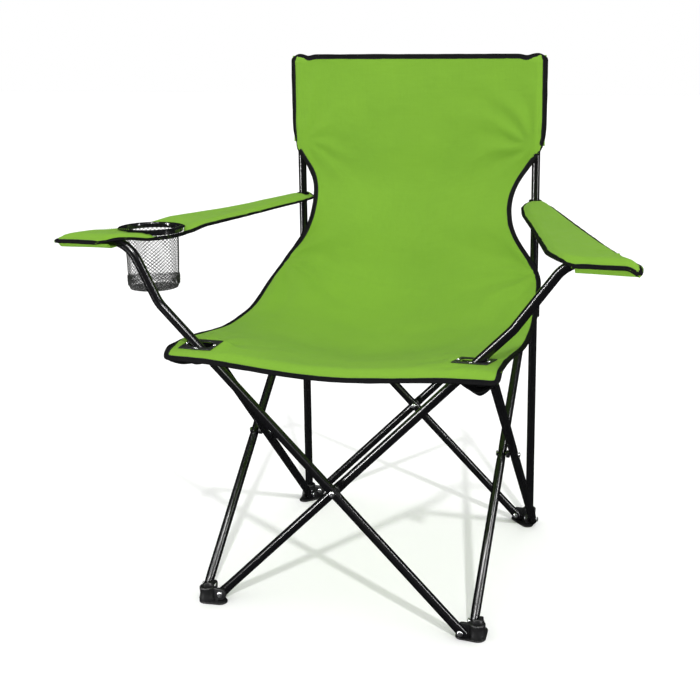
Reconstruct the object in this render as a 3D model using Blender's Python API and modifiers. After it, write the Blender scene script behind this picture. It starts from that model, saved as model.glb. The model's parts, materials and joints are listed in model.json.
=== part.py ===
# Folding camp chair: four scissor pairs of steel tube, two rear posts, plastic feet, sliders and
# brackets, and a fabric sling with armrests and a cup holder.
# Metres, +Z up. The origin is on the floor, in the middle of the overall width and depth. The
# sitter faces -Y, so the cup holder's side, -X, is at the sitter's right hand.
import math

import bmesh
import bpy
from mathutils import Matrix, Vector

for old in list(bpy.data.objects):
    bpy.data.objects.remove(old, do_unlink=True)

# Frame
corner_reach = 0.2172  # from the middle of the chair to a post, along X and along Y
pivot_inset = 0.0225  # from a post's axis to the rivets of its foot, slider or bracket
foot_pivot_height = 0.0135
crossing_rise = 0.19325  # from the foot rivets up to the crossing rivets
tube_radius = 0.0072
tube_wall = 0.0010
tube_overrun = 0.0075  # of a tube past its end rivets
post_top = 0.836

# Rivets and clearances
gap = 0.0003  # between pieces that touch
running_gap = 0.0005  # between a post and what slides on it
rivet_radius = 0.0024
rivet_head_radius = 0.0046
rivet_head_height = 0.0026
spacer_radius = 0.0062

# Plastic corner pieces
lug_thickness = 0.0054
lug_radius = 0.0092
foot_boss_radius = 0.0119
foot_height = 0.0245
foot_edge = 0.0020
foot_plate = 0.0024  # thick, under the boss and both lugs
foot_plate_round = 0.0108  # round the lugs' ends
socket_floor = 0.0065
slider_boss_radius = 0.0112
slider_below = 0.013  # of the slider's sleeve under its rivets
slider_above = 0.048
bracket_boss_radius = 0.0100
bracket_below = 0.0145

# Arm supports: the front tubes carry on past their brackets
arm_straight = 0.102  # from the bracket rivet to the first bend
arm_steep_angle = math.radians(58.2)
arm_steep_length = 0.1137
arm_tip_angle = math.radians(1.5)
arm_tip_length = 0.078
arm_bend_radius = 0.055
cap_length = 0.012
cap_head = 0.0025

# Fabric
cloth = 0.0024  # of the solids that stand for the doubled fabric
seat_front_reach = 0.0448  # of the seat's hem before the corner pieces' axes
seat_rear_inset = 0.0522  # of the seat's rear edge from the posts' axes
seat_front_overhang = 0.0553  # of the seat's corners beyond the tubes' pivots
seat_rear_overhang = 0.0208
seat_above_pivots = 0.0155
seat_hem_drop = 0.0150
seat_hem_reach = 0.026
seat_side_dip = 0.0125
seat_side_waist = 0.004  # of the seat's sides halfway back
seat_rear_rise = 0.050
seat_sag = 0.020
seat_rear_sag = 0.028
back_over_post = 0.0105
back_bow = 0.016
sleeve_length = 0.1565
sleeve_wall = 0.0014
waist_below_arms = 0.0073  # of the back's narrowest part under the armrests' rear
waist_inset = 0.0372  # of the back's waist from the posts' axes

# Seat plates
plate_length = 0.052
plate_width = 0.028
plate_shift = 0.0063  # of the plate's middle inboard of its tube
slot_gap = 0.0012  # around the tube, in the plate and in the seat
plate_thickness = 0.0016
plate_slant = 0.0045  # of its rear edge to the right and its front edge to the left

# Armrests and cup holder
arm_cloth = 0.0030
arm_over_tip = 0.0006  # of the armrest above the tube in its pocket
arm_rise = 0.0155  # of the armrest from front to rear
arm_rear_half = 0.019
arm_rear_reach = 0.018
arm_neck = 0.030  # of the narrow part before the post
arm_past_tip = 0.0317
arm_before_tube = 0.0353
arm_front_width = 0.107
arm_inner_bow = 0.005
arm_round = 0.014  # of the front corners
cup_from_outer = 0.115  # of the cup's axis from the armrest's outer corner
cup_from_front = 0.110
cup_margin = 0.0042  # of fabric round the ring
ring_radius = 0.0485
ring_inner = 0.0420
ring_height = 0.0095
cup_radius = 0.0412
cup_bottom_radius = 0.0385
cup_depth = 0.093
cup_wall = 0.0016

# Sizes that follow from those above
half_span = corner_reach - pivot_inset
rivet_rise = 2 * crossing_rise
top_pivot_height = foot_pivot_height + rivet_rise
crossing_height = foot_pivot_height + crossing_rise
slope = math.atan2(crossing_rise, half_span)
layer = tube_radius + gap + lug_thickness / 2  # of a tube's axis from its lug's middle
rivet_face = layer + tube_radius + gap
lug_face = lug_thickness / 2 + gap
seat_front = -corner_reach - seat_front_reach
seat_rear = corner_reach - seat_rear_inset
seat_front_half = half_span + seat_front_overhang
seat_rear_half = corner_reach + seat_rear_overhang
seat_height = top_pivot_height + seat_above_pivots
back_top = post_top + back_over_post
sleeve_bottom = back_top - sleeve_length
waist_half = corner_reach - waist_inset
arm_bends = ((slope, arm_straight), (arm_steep_angle, arm_steep_length), (arm_tip_angle, arm_tip_length))
arm_tip_across = half_span + sum(length * math.cos(angle) for angle, length in arm_bends)
arm_tip_height = top_pivot_height + sum(length * math.sin(angle) for angle, length in arm_bends)
arm_front = -corner_reach - layer - arm_before_tube
arm_outer = arm_tip_across + arm_past_tip
arm_inner = arm_outer - arm_front_width
arm_front_height = arm_tip_height + tube_radius + arm_cloth / 2 + arm_over_tip
arm_rear_height = arm_front_height + arm_rise
waist_height = arm_rear_height - waist_below_arms
cup_across = arm_outer - cup_from_outer
cup_along = arm_front + cup_from_front
corner_names = ("front_right", "rear_right", "rear_left", "front_left")
side_names = ("front", "right", "rear", "left")

parts = bpy.data.collections.new("folding_camp_chair")
cutters = bpy.data.collections.new("cutters")
bpy.context.scene.collection.children.link(parts)
bpy.context.scene.collection.children.link(cutters)
cutters.hide_render = True


def material(name, colour, roughness, metallic=0.0):
    made = bpy.data.materials.new(name)
    made.use_nodes = True
    shader = made.node_tree.nodes["Principled BSDF"]
    shader.inputs["Base Color"].default_value = (*colour, 1)
    shader.inputs["Roughness"].default_value = roughness
    shader.inputs["Metallic"].default_value = metallic
    return made


finishes = {
    "black_steel": ((0.012, 0.012, 0.013), 0.28, 0.0),
    "black_plastic": ((0.015, 0.015, 0.016), 0.45, 0.0),
    "zinc": ((0.75, 0.75, 0.77), 0.25, 1.0),
    "green_fabric": ((0.24, 0.48, 0.055), 0.85, 0.0),
    "black_mesh": ((0.012, 0.012, 0.013), 0.7, 0.0),
}


def finish(obj, name, kind):
    """Gives a part its name, its own material and its place in the part collection."""
    obj.name = name
    obj.data.name = name
    obj.data.materials.clear()
    obj.data.materials.append(material(name, *finishes[kind]))
    for user in list(obj.users_collection):
        user.objects.unlink(obj)
    parts.objects.link(obj)
    obj.data.shade_smooth()
    obj.data.set_sharp_from_angle(angle=math.radians(35))
    return obj


def cutter(obj):
    for user in list(obj.users_collection):
        user.objects.unlink(obj)
    cutters.objects.link(obj)
    obj.hide_render = True
    obj.display_type = "WIRE"
    return obj


def boolean(obj, other, operation="DIFFERENCE"):
    step = obj.modifiers.new(operation.lower(), "BOOLEAN")
    step.operation = operation
    step.solver = "EXACT"
    step.object = cutter(other)


def mesh_of(shape):
    """The shape, such as a curve, as a mesh object with its caps welded on."""
    graph = bpy.context.evaluated_depsgraph_get()
    graph.update()
    mesh = bpy.data.meshes.new_from_object(shape.evaluated_get(graph))
    bm = bmesh.new()
    bm.from_mesh(mesh)
    bmesh.ops.remove_doubles(bm, verts=bm.verts, dist=1e-6)
    bmesh.ops.recalc_face_normals(bm, faces=bm.faces)
    bm.to_mesh(mesh)
    bm.free()
    made = bpy.data.objects.new(shape.name + "_mesh", mesh)
    bpy.context.scene.collection.objects.link(made)
    made.matrix_world = shape.matrix_world
    bpy.data.objects.remove(shape, do_unlink=True)
    return made


def rod(points, radius, resolution=4):
    curve = bpy.data.curves.new("rod", "CURVE")
    curve.dimensions = "3D"
    curve.bevel_depth = radius
    curve.bevel_resolution = resolution
    curve.use_fill_caps = True
    spline = curve.splines.new("POLY")
    spline.points.add(len(points) - 1)
    for spot, point in zip(spline.points, points):
        spot.co = (*point, 1)
    obj = bpy.data.objects.new("rod", curve)
    bpy.context.scene.collection.objects.link(obj)
    return mesh_of(obj)


def outline(loops, thickness, place):
    """A flat plate of the loops' shape, a second loop being a hole, in the place matrix's XY plane."""
    curve = bpy.data.curves.new("outline", "CURVE")
    curve.dimensions = "2D"
    curve.fill_mode = "BOTH"
    curve.extrude = thickness / 2
    for loop in loops:
        spline = curve.splines.new("POLY")
        spline.points.add(len(loop) - 1)
        spline.use_cyclic_u = True
        for spot, point in zip(spline.points, loop):
            spot.co = (point[0], point[1], 0, 1)
    obj = bpy.data.objects.new("outline", curve)
    bpy.context.scene.collection.objects.link(obj)
    obj.matrix_world = place
    bpy.context.view_layer.update()
    return mesh_of(obj)


def turned(profile, steps=20, closed=False, place=None):
    """A profile of (radius, height) pairs turned about Z; it runs down the outer side."""
    mesh = bpy.data.meshes.new("turned")
    edges = [(i, i + 1) for i in range(len(profile) - 1)]
    if closed:
        edges.append((len(profile) - 1, 0))
    mesh.from_pydata([(r, 0, z) for r, z in profile], edges, [])
    obj = bpy.data.objects.new("turned", mesh)
    bpy.context.scene.collection.objects.link(obj)
    screw = obj.modifiers.new("screw", "SCREW")
    screw.steps = steps
    screw.render_steps = steps
    screw.use_merge_vertices = True
    screw.merge_threshold = 1e-5
    obj.matrix_world = place or Matrix.Identity(4)
    bpy.context.view_layer.update()
    return mesh_of(obj)


def along(start, direction):
    """A matrix that puts Z along the direction, at the start."""
    return Matrix.Translation(Vector(start)) @ Vector(direction).to_track_quat("Z", "Y").to_matrix().to_4x4()


def pin(start, end, radius, sides=10):
    """A plain cylinder between two points."""
    start, end = Vector(start), Vector(end)
    length = (end - start).length
    profile = [(0, length), (radius, length), (radius, 0), (0, 0)]
    return turned(profile, sides, place=along(start, end - start))


def arc(centre, radius, start, end, steps):
    return [
        (
            centre[0] + radius * math.cos(start + (end - start) * i / steps),
            centre[1] + radius * math.sin(start + (end - start) * i / steps),
        )
        for i in range(steps + 1)
    ]


def bent(corners, radius, steps=4):
    """The corners' path with each inner corner rounded to the radius."""
    path = [corners[0]]
    for before, here, after in zip(corners, corners[1:], corners[2:]):
        back = (before - here).normalized()
        on = (after - here).normalized()
        half = back.angle(on) / 2
        reach = radius / math.tan(half)
        centre = here + (back + on).normalized() * radius / math.sin(half)
        first = here + back * reach - centre
        last = here + on * reach - centre
        turn = first.angle(last)
        for i in range(steps + 1):
            share = i / steps
            spot = first * math.sin((1 - share) * turn) + last * math.sin(share * turn)
            path.append(centre + spot / math.sin(turn))
    path.append(corners[-1])
    return path


def turn(k):
    return Matrix.Rotation(k * math.pi / 2, 4, "Z")


def spin(k, x, y, z):
    """The point of corner k that lies as (x, y, z) lies at the front right corner."""
    return turn(k) @ Vector((x, y, z))


bodies = {}


def body(name, spot):
    """An empty on the body's joint, which carries the body's pieces."""
    empty = bpy.data.objects.new("axis_" + name, None)
    empty.location = spot
    empty.empty_display_size = 0.02
    parts.objects.link(empty)
    bodies[name] = empty
    bpy.context.view_layer.update()
    return empty


def carry(name, *objs):
    for obj in objs:
        obj.parent = bodies[name]
        obj.matrix_parent_inverse = bodies[name].matrix_world.inverted()


# One body for each rigid group, its empty on the joint that moves it
outer_starts = [spin(k, half_span, -corner_reach - layer, foot_pivot_height) for k in range(4)]
inner_starts = [spin(k, corner_reach - layer, -half_span, foot_pivot_height) for k in range(4)]
inner_names = [side_names[(k + 1) % 4] + "_inner" for k in range(4)]
outer_names = [side_names[k] + "_outer" for k in range(4)]
for k in range(4):
    body("foot_" + corner_names[k], spin(k, corner_reach, -corner_reach, foot_pivot_height))
    body("top_" + corner_names[k], spin(k, corner_reach, -corner_reach, top_pivot_height))
    body(outer_names[k], outer_starts[k])
    body(inner_names[k], inner_starts[k])


# Cross tubes
def straight(k, inner):
    """End rivet centres of one cross tube, from its foot to its top."""
    if inner:
        x = corner_reach - layer
        return spin(k, x, -half_span, foot_pivot_height), spin(k, x, half_span, top_pivot_height)
    y = -corner_reach - layer
    return spin(k, half_span, y, foot_pivot_height), spin(k, -half_span, y, top_pivot_height)


def arm_path(start, top):
    """The corners of a front tube that carries on as an arm support, on the side where its top is."""
    side = Vector((math.copysign(1, top.x), 0, 0))
    up = Vector((0, 0, 1))
    along_tube = (top - start).normalized()
    first = top + along_tube * arm_straight
    steep = side * math.cos(arm_steep_angle) + up * math.sin(arm_steep_angle)
    second = first + steep * arm_steep_length
    flat = side * math.cos(arm_tip_angle) + up * math.sin(arm_tip_angle)
    return [first, second, second + flat * arm_tip_length]


def cross_tube(k, inner):
    start, top = straight(k, inner)
    direction = (top - start).normalized()
    lower = start - direction * tube_overrun
    if (k, inner) in ((0, False), (3, True)):
        path = bent([lower, *arm_path(start, top)], arm_bend_radius)
    else:
        path = [lower, top + direction * tube_overrun]
    tube = rod(path, tube_radius)
    longer = [path[0] - (path[1] - path[0]).normalized() * 0.003, *path[1:-1]]
    longer.append(path[-1] + (path[-1] - path[-2]).normalized() * 0.003)
    boolean(tube, rod(longer, tube_radius - tube_wall))
    across = turn(k) @ (Vector((1, 0, 0)) if inner else Vector((0, 1, 0)))
    reach = across * 2 * tube_radius
    for spot in (start, (start + top) / 2, top):
        boolean(tube, pin(spot - reach, spot + reach, rivet_radius + gap, 9))
    name = inner_names[k] if inner else outer_names[k]
    side, place = name.split("_")
    finish(tube, f"{side}_tube_{place}", "black_steel")
    carry(name, tube)
    return path


paths = {}
for k in range(4):
    paths[outer_names[k]] = cross_tube(k, False)
    paths[inner_names[k]] = cross_tube(k, True)


# Rivets and spacers
def rivet(name, first, last, carrier):
    """A rivet whose heads bear on the outsides of what lies between two points."""
    length = (last - first).length
    r, h = rivet_head_radius, rivet_head_height
    profile = [
        (0, length + h),
        (r * 0.7, length + h * 0.8),
        (r, length),
        (rivet_radius, length),
        (rivet_radius, 0),
        (r, 0),
        (r * 0.7, -h * 0.8),
        (0, -h),
    ]
    made = finish(turned(profile, 10, place=along(first, last - first)), name, "zinc")
    carry(carrier, made)


for k in range(4):
    here = corner_names[k]
    foot_z, top_z = foot_pivot_height, top_pivot_height
    edge = corner_reach
    rivet(
        f"rivet_foot_{here}_outer",
        spin(k, half_span, -edge + lug_face, foot_z),
        spin(k, half_span, -edge - rivet_face, foot_z),
        "foot_" + here,
    )
    rivet(
        f"rivet_foot_{here}_inner",
        spin(k, edge + lug_face, -half_span, foot_z),
        spin(k, edge - rivet_face, -half_span, foot_z),
        "foot_" + here,
    )
    rivet(
        f"rivet_top_{here}_inner",
        spin(k, half_span, -edge - lug_face, top_z),
        spin(k, half_span, -edge + rivet_face, top_z),
        "top_" + here,
    )
    rivet(
        f"rivet_top_{here}_outer",
        spin(k, edge - lug_face, -half_span, top_z),
        spin(k, edge + rivet_face, -half_span, top_z),
        "top_" + here,
    )
    rivet(
        f"rivet_crossing_{side_names[k]}",
        spin(k, 0, -edge + rivet_face, crossing_height),
        spin(k, 0, -edge - rivet_face, crossing_height),
        outer_names[k],
    )
    thick = 2 * (layer - tube_radius - gap)
    ring = [
        (rivet_radius + gap, thick / 2),
        (spacer_radius, thick / 2),
        (spacer_radius, -thick / 2),
        (rivet_radius + gap, -thick / 2),
    ]
    spacer = turned(ring, 12, True, along(spin(k, 0, -edge, crossing_height), turn(k) @ Vector((0, 1, 0))))
    carry(outer_names[k], finish(spacer, f"spacer_{side_names[k]}", "black_plastic"))


# Plastic corner pieces, each a boss on the post's axis with two lugs that point along the frame
def lug(k, along_x, height):
    """A lug from the post's axis to its rivet, with a round end."""
    point = pivot_inset
    shape = [(0, -lug_radius), *arc((point, 0), lug_radius, -math.pi / 2, math.pi / 2, 8), (0, lug_radius)]
    upright = Matrix.Rotation(math.pi / 2, 4, "X")
    face = turn(k) @ Matrix.Translation((corner_reach, -corner_reach, height))
    way = Matrix.Rotation(math.pi if along_x else math.pi / 2, 4, "Z")
    return outline([shape], lug_thickness, face @ way @ upright)


def corner_piece(k, height, boss, holes):
    piece = boss
    for along_x in (True, False):
        boolean(piece, lug(k, along_x, height), "UNION")
    for hole in holes:
        boolean(piece, hole)
    reach = lug_thickness
    edge = corner_reach
    for first, last in (
        (spin(k, half_span, -edge - reach, height), spin(k, half_span, -edge + reach, height)),
        (spin(k, edge - reach, -half_span, height), spin(k, edge + reach, -half_span, height)),
    ):
        boolean(piece, pin(first, last, rivet_radius + gap))
    return piece


def foot_base(k):
    """A thin plate on the floor under a foot's boss and lugs."""
    quarter = math.pi / 2
    loop = arc((corner_reach, -corner_reach), foot_boss_radius + 0.0008, -quarter, 0, 6)
    loop += arc((corner_reach, -half_span), foot_plate_round, 0, 1.5 * quarter, 6)
    loop += arc((half_span, -corner_reach), foot_plate_round, 1.5 * quarter, 3 * quarter, 6)
    return outline([loop], foot_plate, turn(k) @ Matrix.Translation((0, 0, foot_plate / 2)))


def boss_profile(radius, low, high, edge):
    return [(0, high), (radius - edge / 2, high), (radius, high - edge / 2), (radius, low + edge), (radius - edge, low), (0, low)]


for k in range(4):
    here = corner_names[k]
    spot = spin(k, corner_reach, -corner_reach, 0)
    place = Matrix.Translation(spot)
    foot_boss = turned(boss_profile(foot_boss_radius, 0, foot_height, foot_edge), 18, place=place)
    socket = pin(spot + Vector((0, 0, socket_floor)), spot + Vector((0, 0, foot_height + 0.01)), tube_radius + gap, 18)
    boolean(foot_boss, foot_base(k), "UNION")
    foot = corner_piece(k, foot_pivot_height, foot_boss, [socket])
    carry("foot_" + here, finish(foot, "foot_" + here, "black_plastic"))
    up = Vector((0, 0, 1))
    if here.startswith("rear"):
        low, high = top_pivot_height - slider_below, top_pivot_height + slider_above
        boss = turned(boss_profile(slider_boss_radius, low, high, 0.002), 18, place=place)
        bore = pin(spot + up * (low - 0.01), spot + up * (high + 0.01), tube_radius + running_gap, 18)
        piece = corner_piece(k, top_pivot_height, boss, [bore])
        carry("top_" + here, finish(piece, "slider_" + here.split("_")[1], "black_plastic"))
    else:
        low, high = top_pivot_height - bracket_below, top_pivot_height
        boss = turned(boss_profile(bracket_boss_radius, low, high, 0.002), 18, place=place)
        passing = paths["front_inner" if k == 0 else "front_outer"][:2]
        piece = corner_piece(k, top_pivot_height, boss, [rod(passing, tube_radius + gap / 2)])
        carry("top_" + here, finish(piece, "bracket_" + here.split("_")[1], "black_plastic"))


# Posts and the caps in their tops
for k in (1, 2):
    side = corner_names[k].split("_")[1]
    spot = spin(k, corner_reach, -corner_reach, 0)
    low = spot + Vector((0, 0, socket_floor + gap))
    high = spot + Vector((0, 0, post_top))
    post = rod([low, high], tube_radius)
    up = Vector((0, 0, 0.003))
    boolean(post, rod([low - up, high + up], tube_radius - tube_wall))
    carry("foot_" + corner_names[k], finish(post, "post_" + side, "black_steel"))


def end_cap(name, tip, direction, carrier):
    """A plug in the end of a tube, its head a little over the tube's outside."""
    plug = tube_radius - tube_wall - gap
    profile = [
        (0, gap + cap_head),
        (tube_radius * 0.7, gap + cap_head),
        (tube_radius, gap + cap_head * 0.4),
        (tube_radius, gap),
        (plug, gap),
        (plug, -cap_length),
        (0, -cap_length),
    ]
    made = finish(turned(profile, 12, place=along(tip, direction)), name, "black_plastic")
    carry(carrier, made)


for k in (1, 2):
    here = corner_names[k]
    top = spin(k, corner_reach, -corner_reach, post_top)
    end_cap("post_cap_" + here.split("_")[1], top, Vector((0, 0, 1)), "foot_" + here)
for name, label in (("front_outer", "left"), ("front_inner", "right")):
    path = paths[name]
    end_cap("arm_cap_" + label, path[-1], path[-1] - path[-2], name)


# Fabric surfaces
def ease(x):
    x = min(max(x, 0.0), 1.0)
    return x * x * (3 - 2 * x)


def side_height(y):
    """Height of the seat's side edge at y."""
    hem = seat_hem_drop * (1 - ease((y - seat_front) / seat_hem_reach))
    dip = seat_side_dip * math.sin(math.pi * ease((y + half_span) / (1.5 * half_span)))
    rise = seat_rear_rise * ease((y - half_span / 10) / (seat_rear - half_span / 10)) ** 1.3
    return seat_height - hem - dip + rise


def seat_surface(u, v):
    """u runs from -1 at the left to 1 at the right, v from 0 at the front to 1 at the rear."""
    y = seat_front + (seat_rear - seat_front) * v
    half = seat_front_half + (seat_rear_half - seat_front_half) * v - seat_side_waist * math.sin(math.pi * v)
    across = math.cos(math.pi / 2 * min(1.0, abs(u) / 0.84)) ** 2
    sag = seat_sag * (0.65 + 0.6 * math.sin(math.pi * v)) + seat_rear_sag * ease((v - 0.7) / 0.3)
    return Vector((u * half, y, side_height(y) - sag * across))


def sheet(surface, columns, rows, thickness):
    """A solid sheet on a surface of two values, its middle layer on the surface."""
    bm = bmesh.new()
    bmesh.ops.create_grid(bm, x_segments=columns, y_segments=rows, size=1)
    for vert in bm.verts:
        vert.co = surface(vert.co.x, (vert.co.y + 1) / 2)
    mesh = bpy.data.meshes.new("sheet")
    bm.to_mesh(mesh)
    bm.free()
    obj = bpy.data.objects.new("sheet", mesh)
    bpy.context.scene.collection.objects.link(obj)
    shell = obj.modifiers.new("thickness", "SOLIDIFY")
    shell.thickness = thickness
    shell.offset = 0
    return obj


seat = sheet(seat_surface, 12, 10, cloth)
for name in ("front_outer", "front_inner"):
    path = paths[name]
    direction = (path[1] - path[0]).normalized()
    boolean(seat, rod([path[1] - direction * arm_straight, path[1], *path[2:4]], tube_radius + slot_gap))
carry("foot_rear_left", finish(seat, "seat_panel", "green_fabric"))

seam_line = [seat_surface(-1 + 2 * i / 40, 1) for i in range(41)]


def seam_height(x):
    """Height of the seat's rear edge at x."""
    for first, last in zip(seam_line, seam_line[1:]):
        if first.x <= x <= last.x:
            share = (x - first.x) / (last.x - first.x)
            return first.z + (last.z - first.z) * share
    return seam_line[0].z


back_face = corner_reach - (tube_radius + gap + cloth / 2)


def back_half(z):
    """Half the back's width at a height: on the sleeves, in at the waist, out again to the seat."""
    corner_z = seam_line[0].z
    if z >= waist_height:
        return waist_half + (corner_reach - waist_half) * ease((z - waist_height - 0.004) / (sleeve_bottom - waist_height))
    return waist_half + (seat_rear_half - waist_half) * ease((waist_height - z) / (waist_height - corner_z)) ** 0.9


def back_surface(u, v):
    """u runs across and v from the seam with the seat up to the top edge."""
    base = seam_height(u * seat_rear_half)
    z = base + (back_top - base) * v
    level = seam_line[0].z + (back_top - seam_line[0].z) * v
    half = back_half(level)
    lean = ease((level - seam_line[0].z) / (sleeve_bottom - 0.02 - seam_line[0].z))
    y = seat_rear + cloth / 2 + gap + (back_face - seat_rear - cloth / 2 - gap) * lean
    bow = back_bow * lean * (1 - u * u)
    return Vector((u * half, y + bow, z))


back = sheet(back_surface, 12, 17, cloth)
for k in (1, 2):
    axis = spin(k, corner_reach, -corner_reach, 0)
    low, high = Vector((0, 0, sleeve_bottom)), Vector((0, 0, back_top + cloth / 4))
    sleeve = pin(axis + low, axis + high, tube_radius + running_gap + sleeve_wall, 20)
    boolean(back, sleeve, "UNION")
for k in (1, 2):
    axis = spin(k, corner_reach, -corner_reach, 0)
    low, high = Vector((0, 0, sleeve_bottom - 0.01)), Vector((0, 0, back_top + 0.02))
    boolean(back, pin(axis + low, axis + high, tube_radius + running_gap, 20))
carry("foot_rear_left", finish(back, "back_panel", "green_fabric"))


# Plates where the arm supports come through the seat, each slotted for its tube's whole swing
slot_half = tube_radius + slot_gap
plate_rise = seat_height + cloth / 2 + gap + plate_thickness / 2 - top_pivot_height
slot_outer = plate_rise / math.tan(slope) + tube_radius / math.sin(slope) - tube_radius
for side, label in ((-1, "left"), (1, "right")):
    line = outer_starts[0].y if label == "left" else inner_starts[3].y
    middle = half_span + plate_rise / math.tan(slope) - plate_shift
    half_x, half_y, slant = plate_length / 2, plate_width / 2, plate_slant
    shape = [(-half_x - slant, -half_y), (half_x - slant, -half_y), (half_x + slant, half_y), (-half_x + slant, half_y)]
    outer_end = arc((half_span + slot_outer - middle, 0), slot_half, -math.pi / 2, math.pi / 2, 6)
    inner_end = arc((half_span - middle, 0), slot_half, math.pi / 2, 1.5 * math.pi, 6)
    hole = [(side * x, y) for x, y in outer_end + inner_end]
    place = Matrix.Translation((side * middle, line, top_pivot_height + plate_rise))
    plate = outline([shape, hole], plate_thickness, place)
    carry("top_front_" + label, finish(plate, "seat_plate_" + label, "black_plastic"))


# Armrests
def arm_outline(side):
    """A long wedge, narrow at the post and wide at the front; on the left it widens round the cup's ring."""
    rear = corner_reach + arm_rear_reach
    inner_rear = corner_reach - arm_rear_half
    loop = [
        (inner_rear, rear),
        (corner_reach + arm_rear_half * 0.4, rear),
        (corner_reach + arm_rear_half, rear - arm_rear_half / 2),
        (arm_outer, arm_front + arm_round),
        (arm_outer - arm_round * 0.4, arm_front),
        (arm_inner, arm_front + arm_round * 0.3),
    ]
    if side < 0:
        start, end = math.radians(238), math.radians(165)
        loop += arc((cup_across, cup_along), ring_radius + cup_margin, start, end, 3)
    else:
        middle = (arm_inner * 0.7 + inner_rear * 0.3 - arm_inner_bow, arm_front * 0.7 + corner_reach * 0.3)
        loop.append(middle)
    loop.append((inner_rear, corner_reach - arm_neck))
    return [(side * x, y) for x, y in loop]


arm_span = corner_reach - arm_front
arm_tilt = math.atan2(arm_rear_height - arm_front_height, arm_span)


def on_arm(y):
    """Height of an armrest's middle layer at y."""
    return arm_rear_height - (corner_reach - y) * math.tan(arm_tilt)


ring_middle = Vector((-cup_across, cup_along, on_arm(cup_along)))
body("cup_holder", paths["front_outer"][-1])
for side, label in ((-1, "left"), (1, "right")):
    place = Matrix.Translation((0, corner_reach, arm_rear_height)) @ Matrix.Rotation(arm_tilt, 4, "X")
    shape = [(x, y - corner_reach) for x, y in arm_outline(side)]
    rest = outline([shape], arm_cloth, place)
    spot = Vector((side * corner_reach, corner_reach, arm_rear_height))
    reach = Vector((0, 0, 0.02))
    boolean(rest, pin(spot - reach, spot + reach, tube_radius + running_gap, 18))
    if label == "left":
        boolean(rest, pin(ring_middle - reach, ring_middle + reach, ring_radius + gap, 28))
    name = "front_outer" if label == "left" else "front_inner"
    carry(name, finish(rest, "armrest_" + label, "green_fabric"))

# Cup holder: a ring set in the left armrest and the mesh cup that hangs from it
half_ring = ring_height / 2
ring_profile = [
    (ring_inner, half_ring - 0.001),
    (ring_inner + 0.001, half_ring),
    (ring_radius - 0.002, half_ring),
    (ring_radius, half_ring - 0.002),
    (ring_radius, -half_ring + 0.002),
    (ring_radius - 0.002, -half_ring),
    (ring_inner, -half_ring),
]
level = Matrix.Translation(ring_middle)
carry("cup_holder", finish(turned(ring_profile, 28, True, level), "cup_ring", "black_plastic"))
cup_profile = [
    (0, cup_wall - cup_depth),
    (cup_bottom_radius - cup_wall, cup_wall - cup_depth),
    (cup_radius - cup_wall, half_ring - 0.002),
    (cup_radius, half_ring - 0.002),
    (cup_bottom_radius, -cup_depth),
    (0, -cup_depth),
]
carry("cup_holder", finish(turned(cup_profile, 28, place=level), "cup_mesh", "black_mesh"))

# The origin is in the middle of the overall depth, from the front hem to the rearmost rivet heads
depth_shift = -(seat_front + corner_reach + rivet_face + rivet_head_height) / 2
for obj in [*bodies.values(), *cutters.objects]:
    obj.location.y += depth_shift
bpy.context.view_layer.update()
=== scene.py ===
import json
import math

import bmesh
import bpy
import numpy as np
from mathutils import Matrix, Vector, noise

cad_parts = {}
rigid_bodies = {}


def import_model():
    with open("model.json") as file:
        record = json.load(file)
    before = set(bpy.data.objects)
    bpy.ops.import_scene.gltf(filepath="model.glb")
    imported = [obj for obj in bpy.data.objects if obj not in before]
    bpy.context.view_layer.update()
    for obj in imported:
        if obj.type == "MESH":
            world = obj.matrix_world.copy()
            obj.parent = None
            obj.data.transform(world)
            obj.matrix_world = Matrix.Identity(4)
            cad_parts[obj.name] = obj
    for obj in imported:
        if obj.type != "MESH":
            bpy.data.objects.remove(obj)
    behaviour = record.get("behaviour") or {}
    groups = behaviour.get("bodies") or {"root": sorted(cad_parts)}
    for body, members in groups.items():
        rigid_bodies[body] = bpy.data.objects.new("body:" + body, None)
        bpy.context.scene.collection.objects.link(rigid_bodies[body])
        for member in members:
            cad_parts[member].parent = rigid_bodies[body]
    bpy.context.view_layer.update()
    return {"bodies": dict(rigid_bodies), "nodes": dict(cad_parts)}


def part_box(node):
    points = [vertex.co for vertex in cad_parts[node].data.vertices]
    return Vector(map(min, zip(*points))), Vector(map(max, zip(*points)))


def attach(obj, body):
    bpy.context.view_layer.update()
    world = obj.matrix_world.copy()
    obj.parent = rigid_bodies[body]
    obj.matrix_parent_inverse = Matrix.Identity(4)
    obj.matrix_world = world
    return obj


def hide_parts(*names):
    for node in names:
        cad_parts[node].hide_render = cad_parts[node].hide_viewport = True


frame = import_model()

scene = bpy.context.scene
print("camp chair: frame in, building", len(frame["nodes"]), "nodes' looks")

# Sizes that every piece shares, the first two read off the right post
postLow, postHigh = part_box("post_right")
corner = (postLow.x + postHigh.x) / 2
depthShift = (postLow.y + postHigh.y) / 2 - corner
steel = {
    "inset": 0.0225,  # post axis to corner rivets
    "footPivot": 0.0135,
    "rise": 0.19325,  # foot rivets up to crossing rivets
    "tube": 0.0072,
    "wall": 0.0010,
    "layer": 0.0102,  # tube axis from the middle of its lug
    "overrun": 0.0075,
    "postTop": 0.836,
    "socketFloor": 0.0068,
}
span = corner - steel["inset"]
topPivot = steel["footPivot"] + 2 * steel["rise"]
crossHeight = steel["footPivot"] + steel["rise"]
slope = math.atan2(steel["rise"], span)
cornerNames = ("front_right", "rear_right", "rear_left", "front_left")
sideNames = ("front", "right", "rear", "left")
footBody = {"front_right": "front_right_foot", "rear_right": "rear_right_post",
            "rear_left": "rear_left_post", "front_left": "front_left_foot"}
topBody = {"front_right": "right_bracket", "rear_right": "right_slider",
           "rear_left": "left_slider", "front_left": "left_bracket"}


def at(x, y, z):
    return Vector((x, y + depthShift, z))


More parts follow.
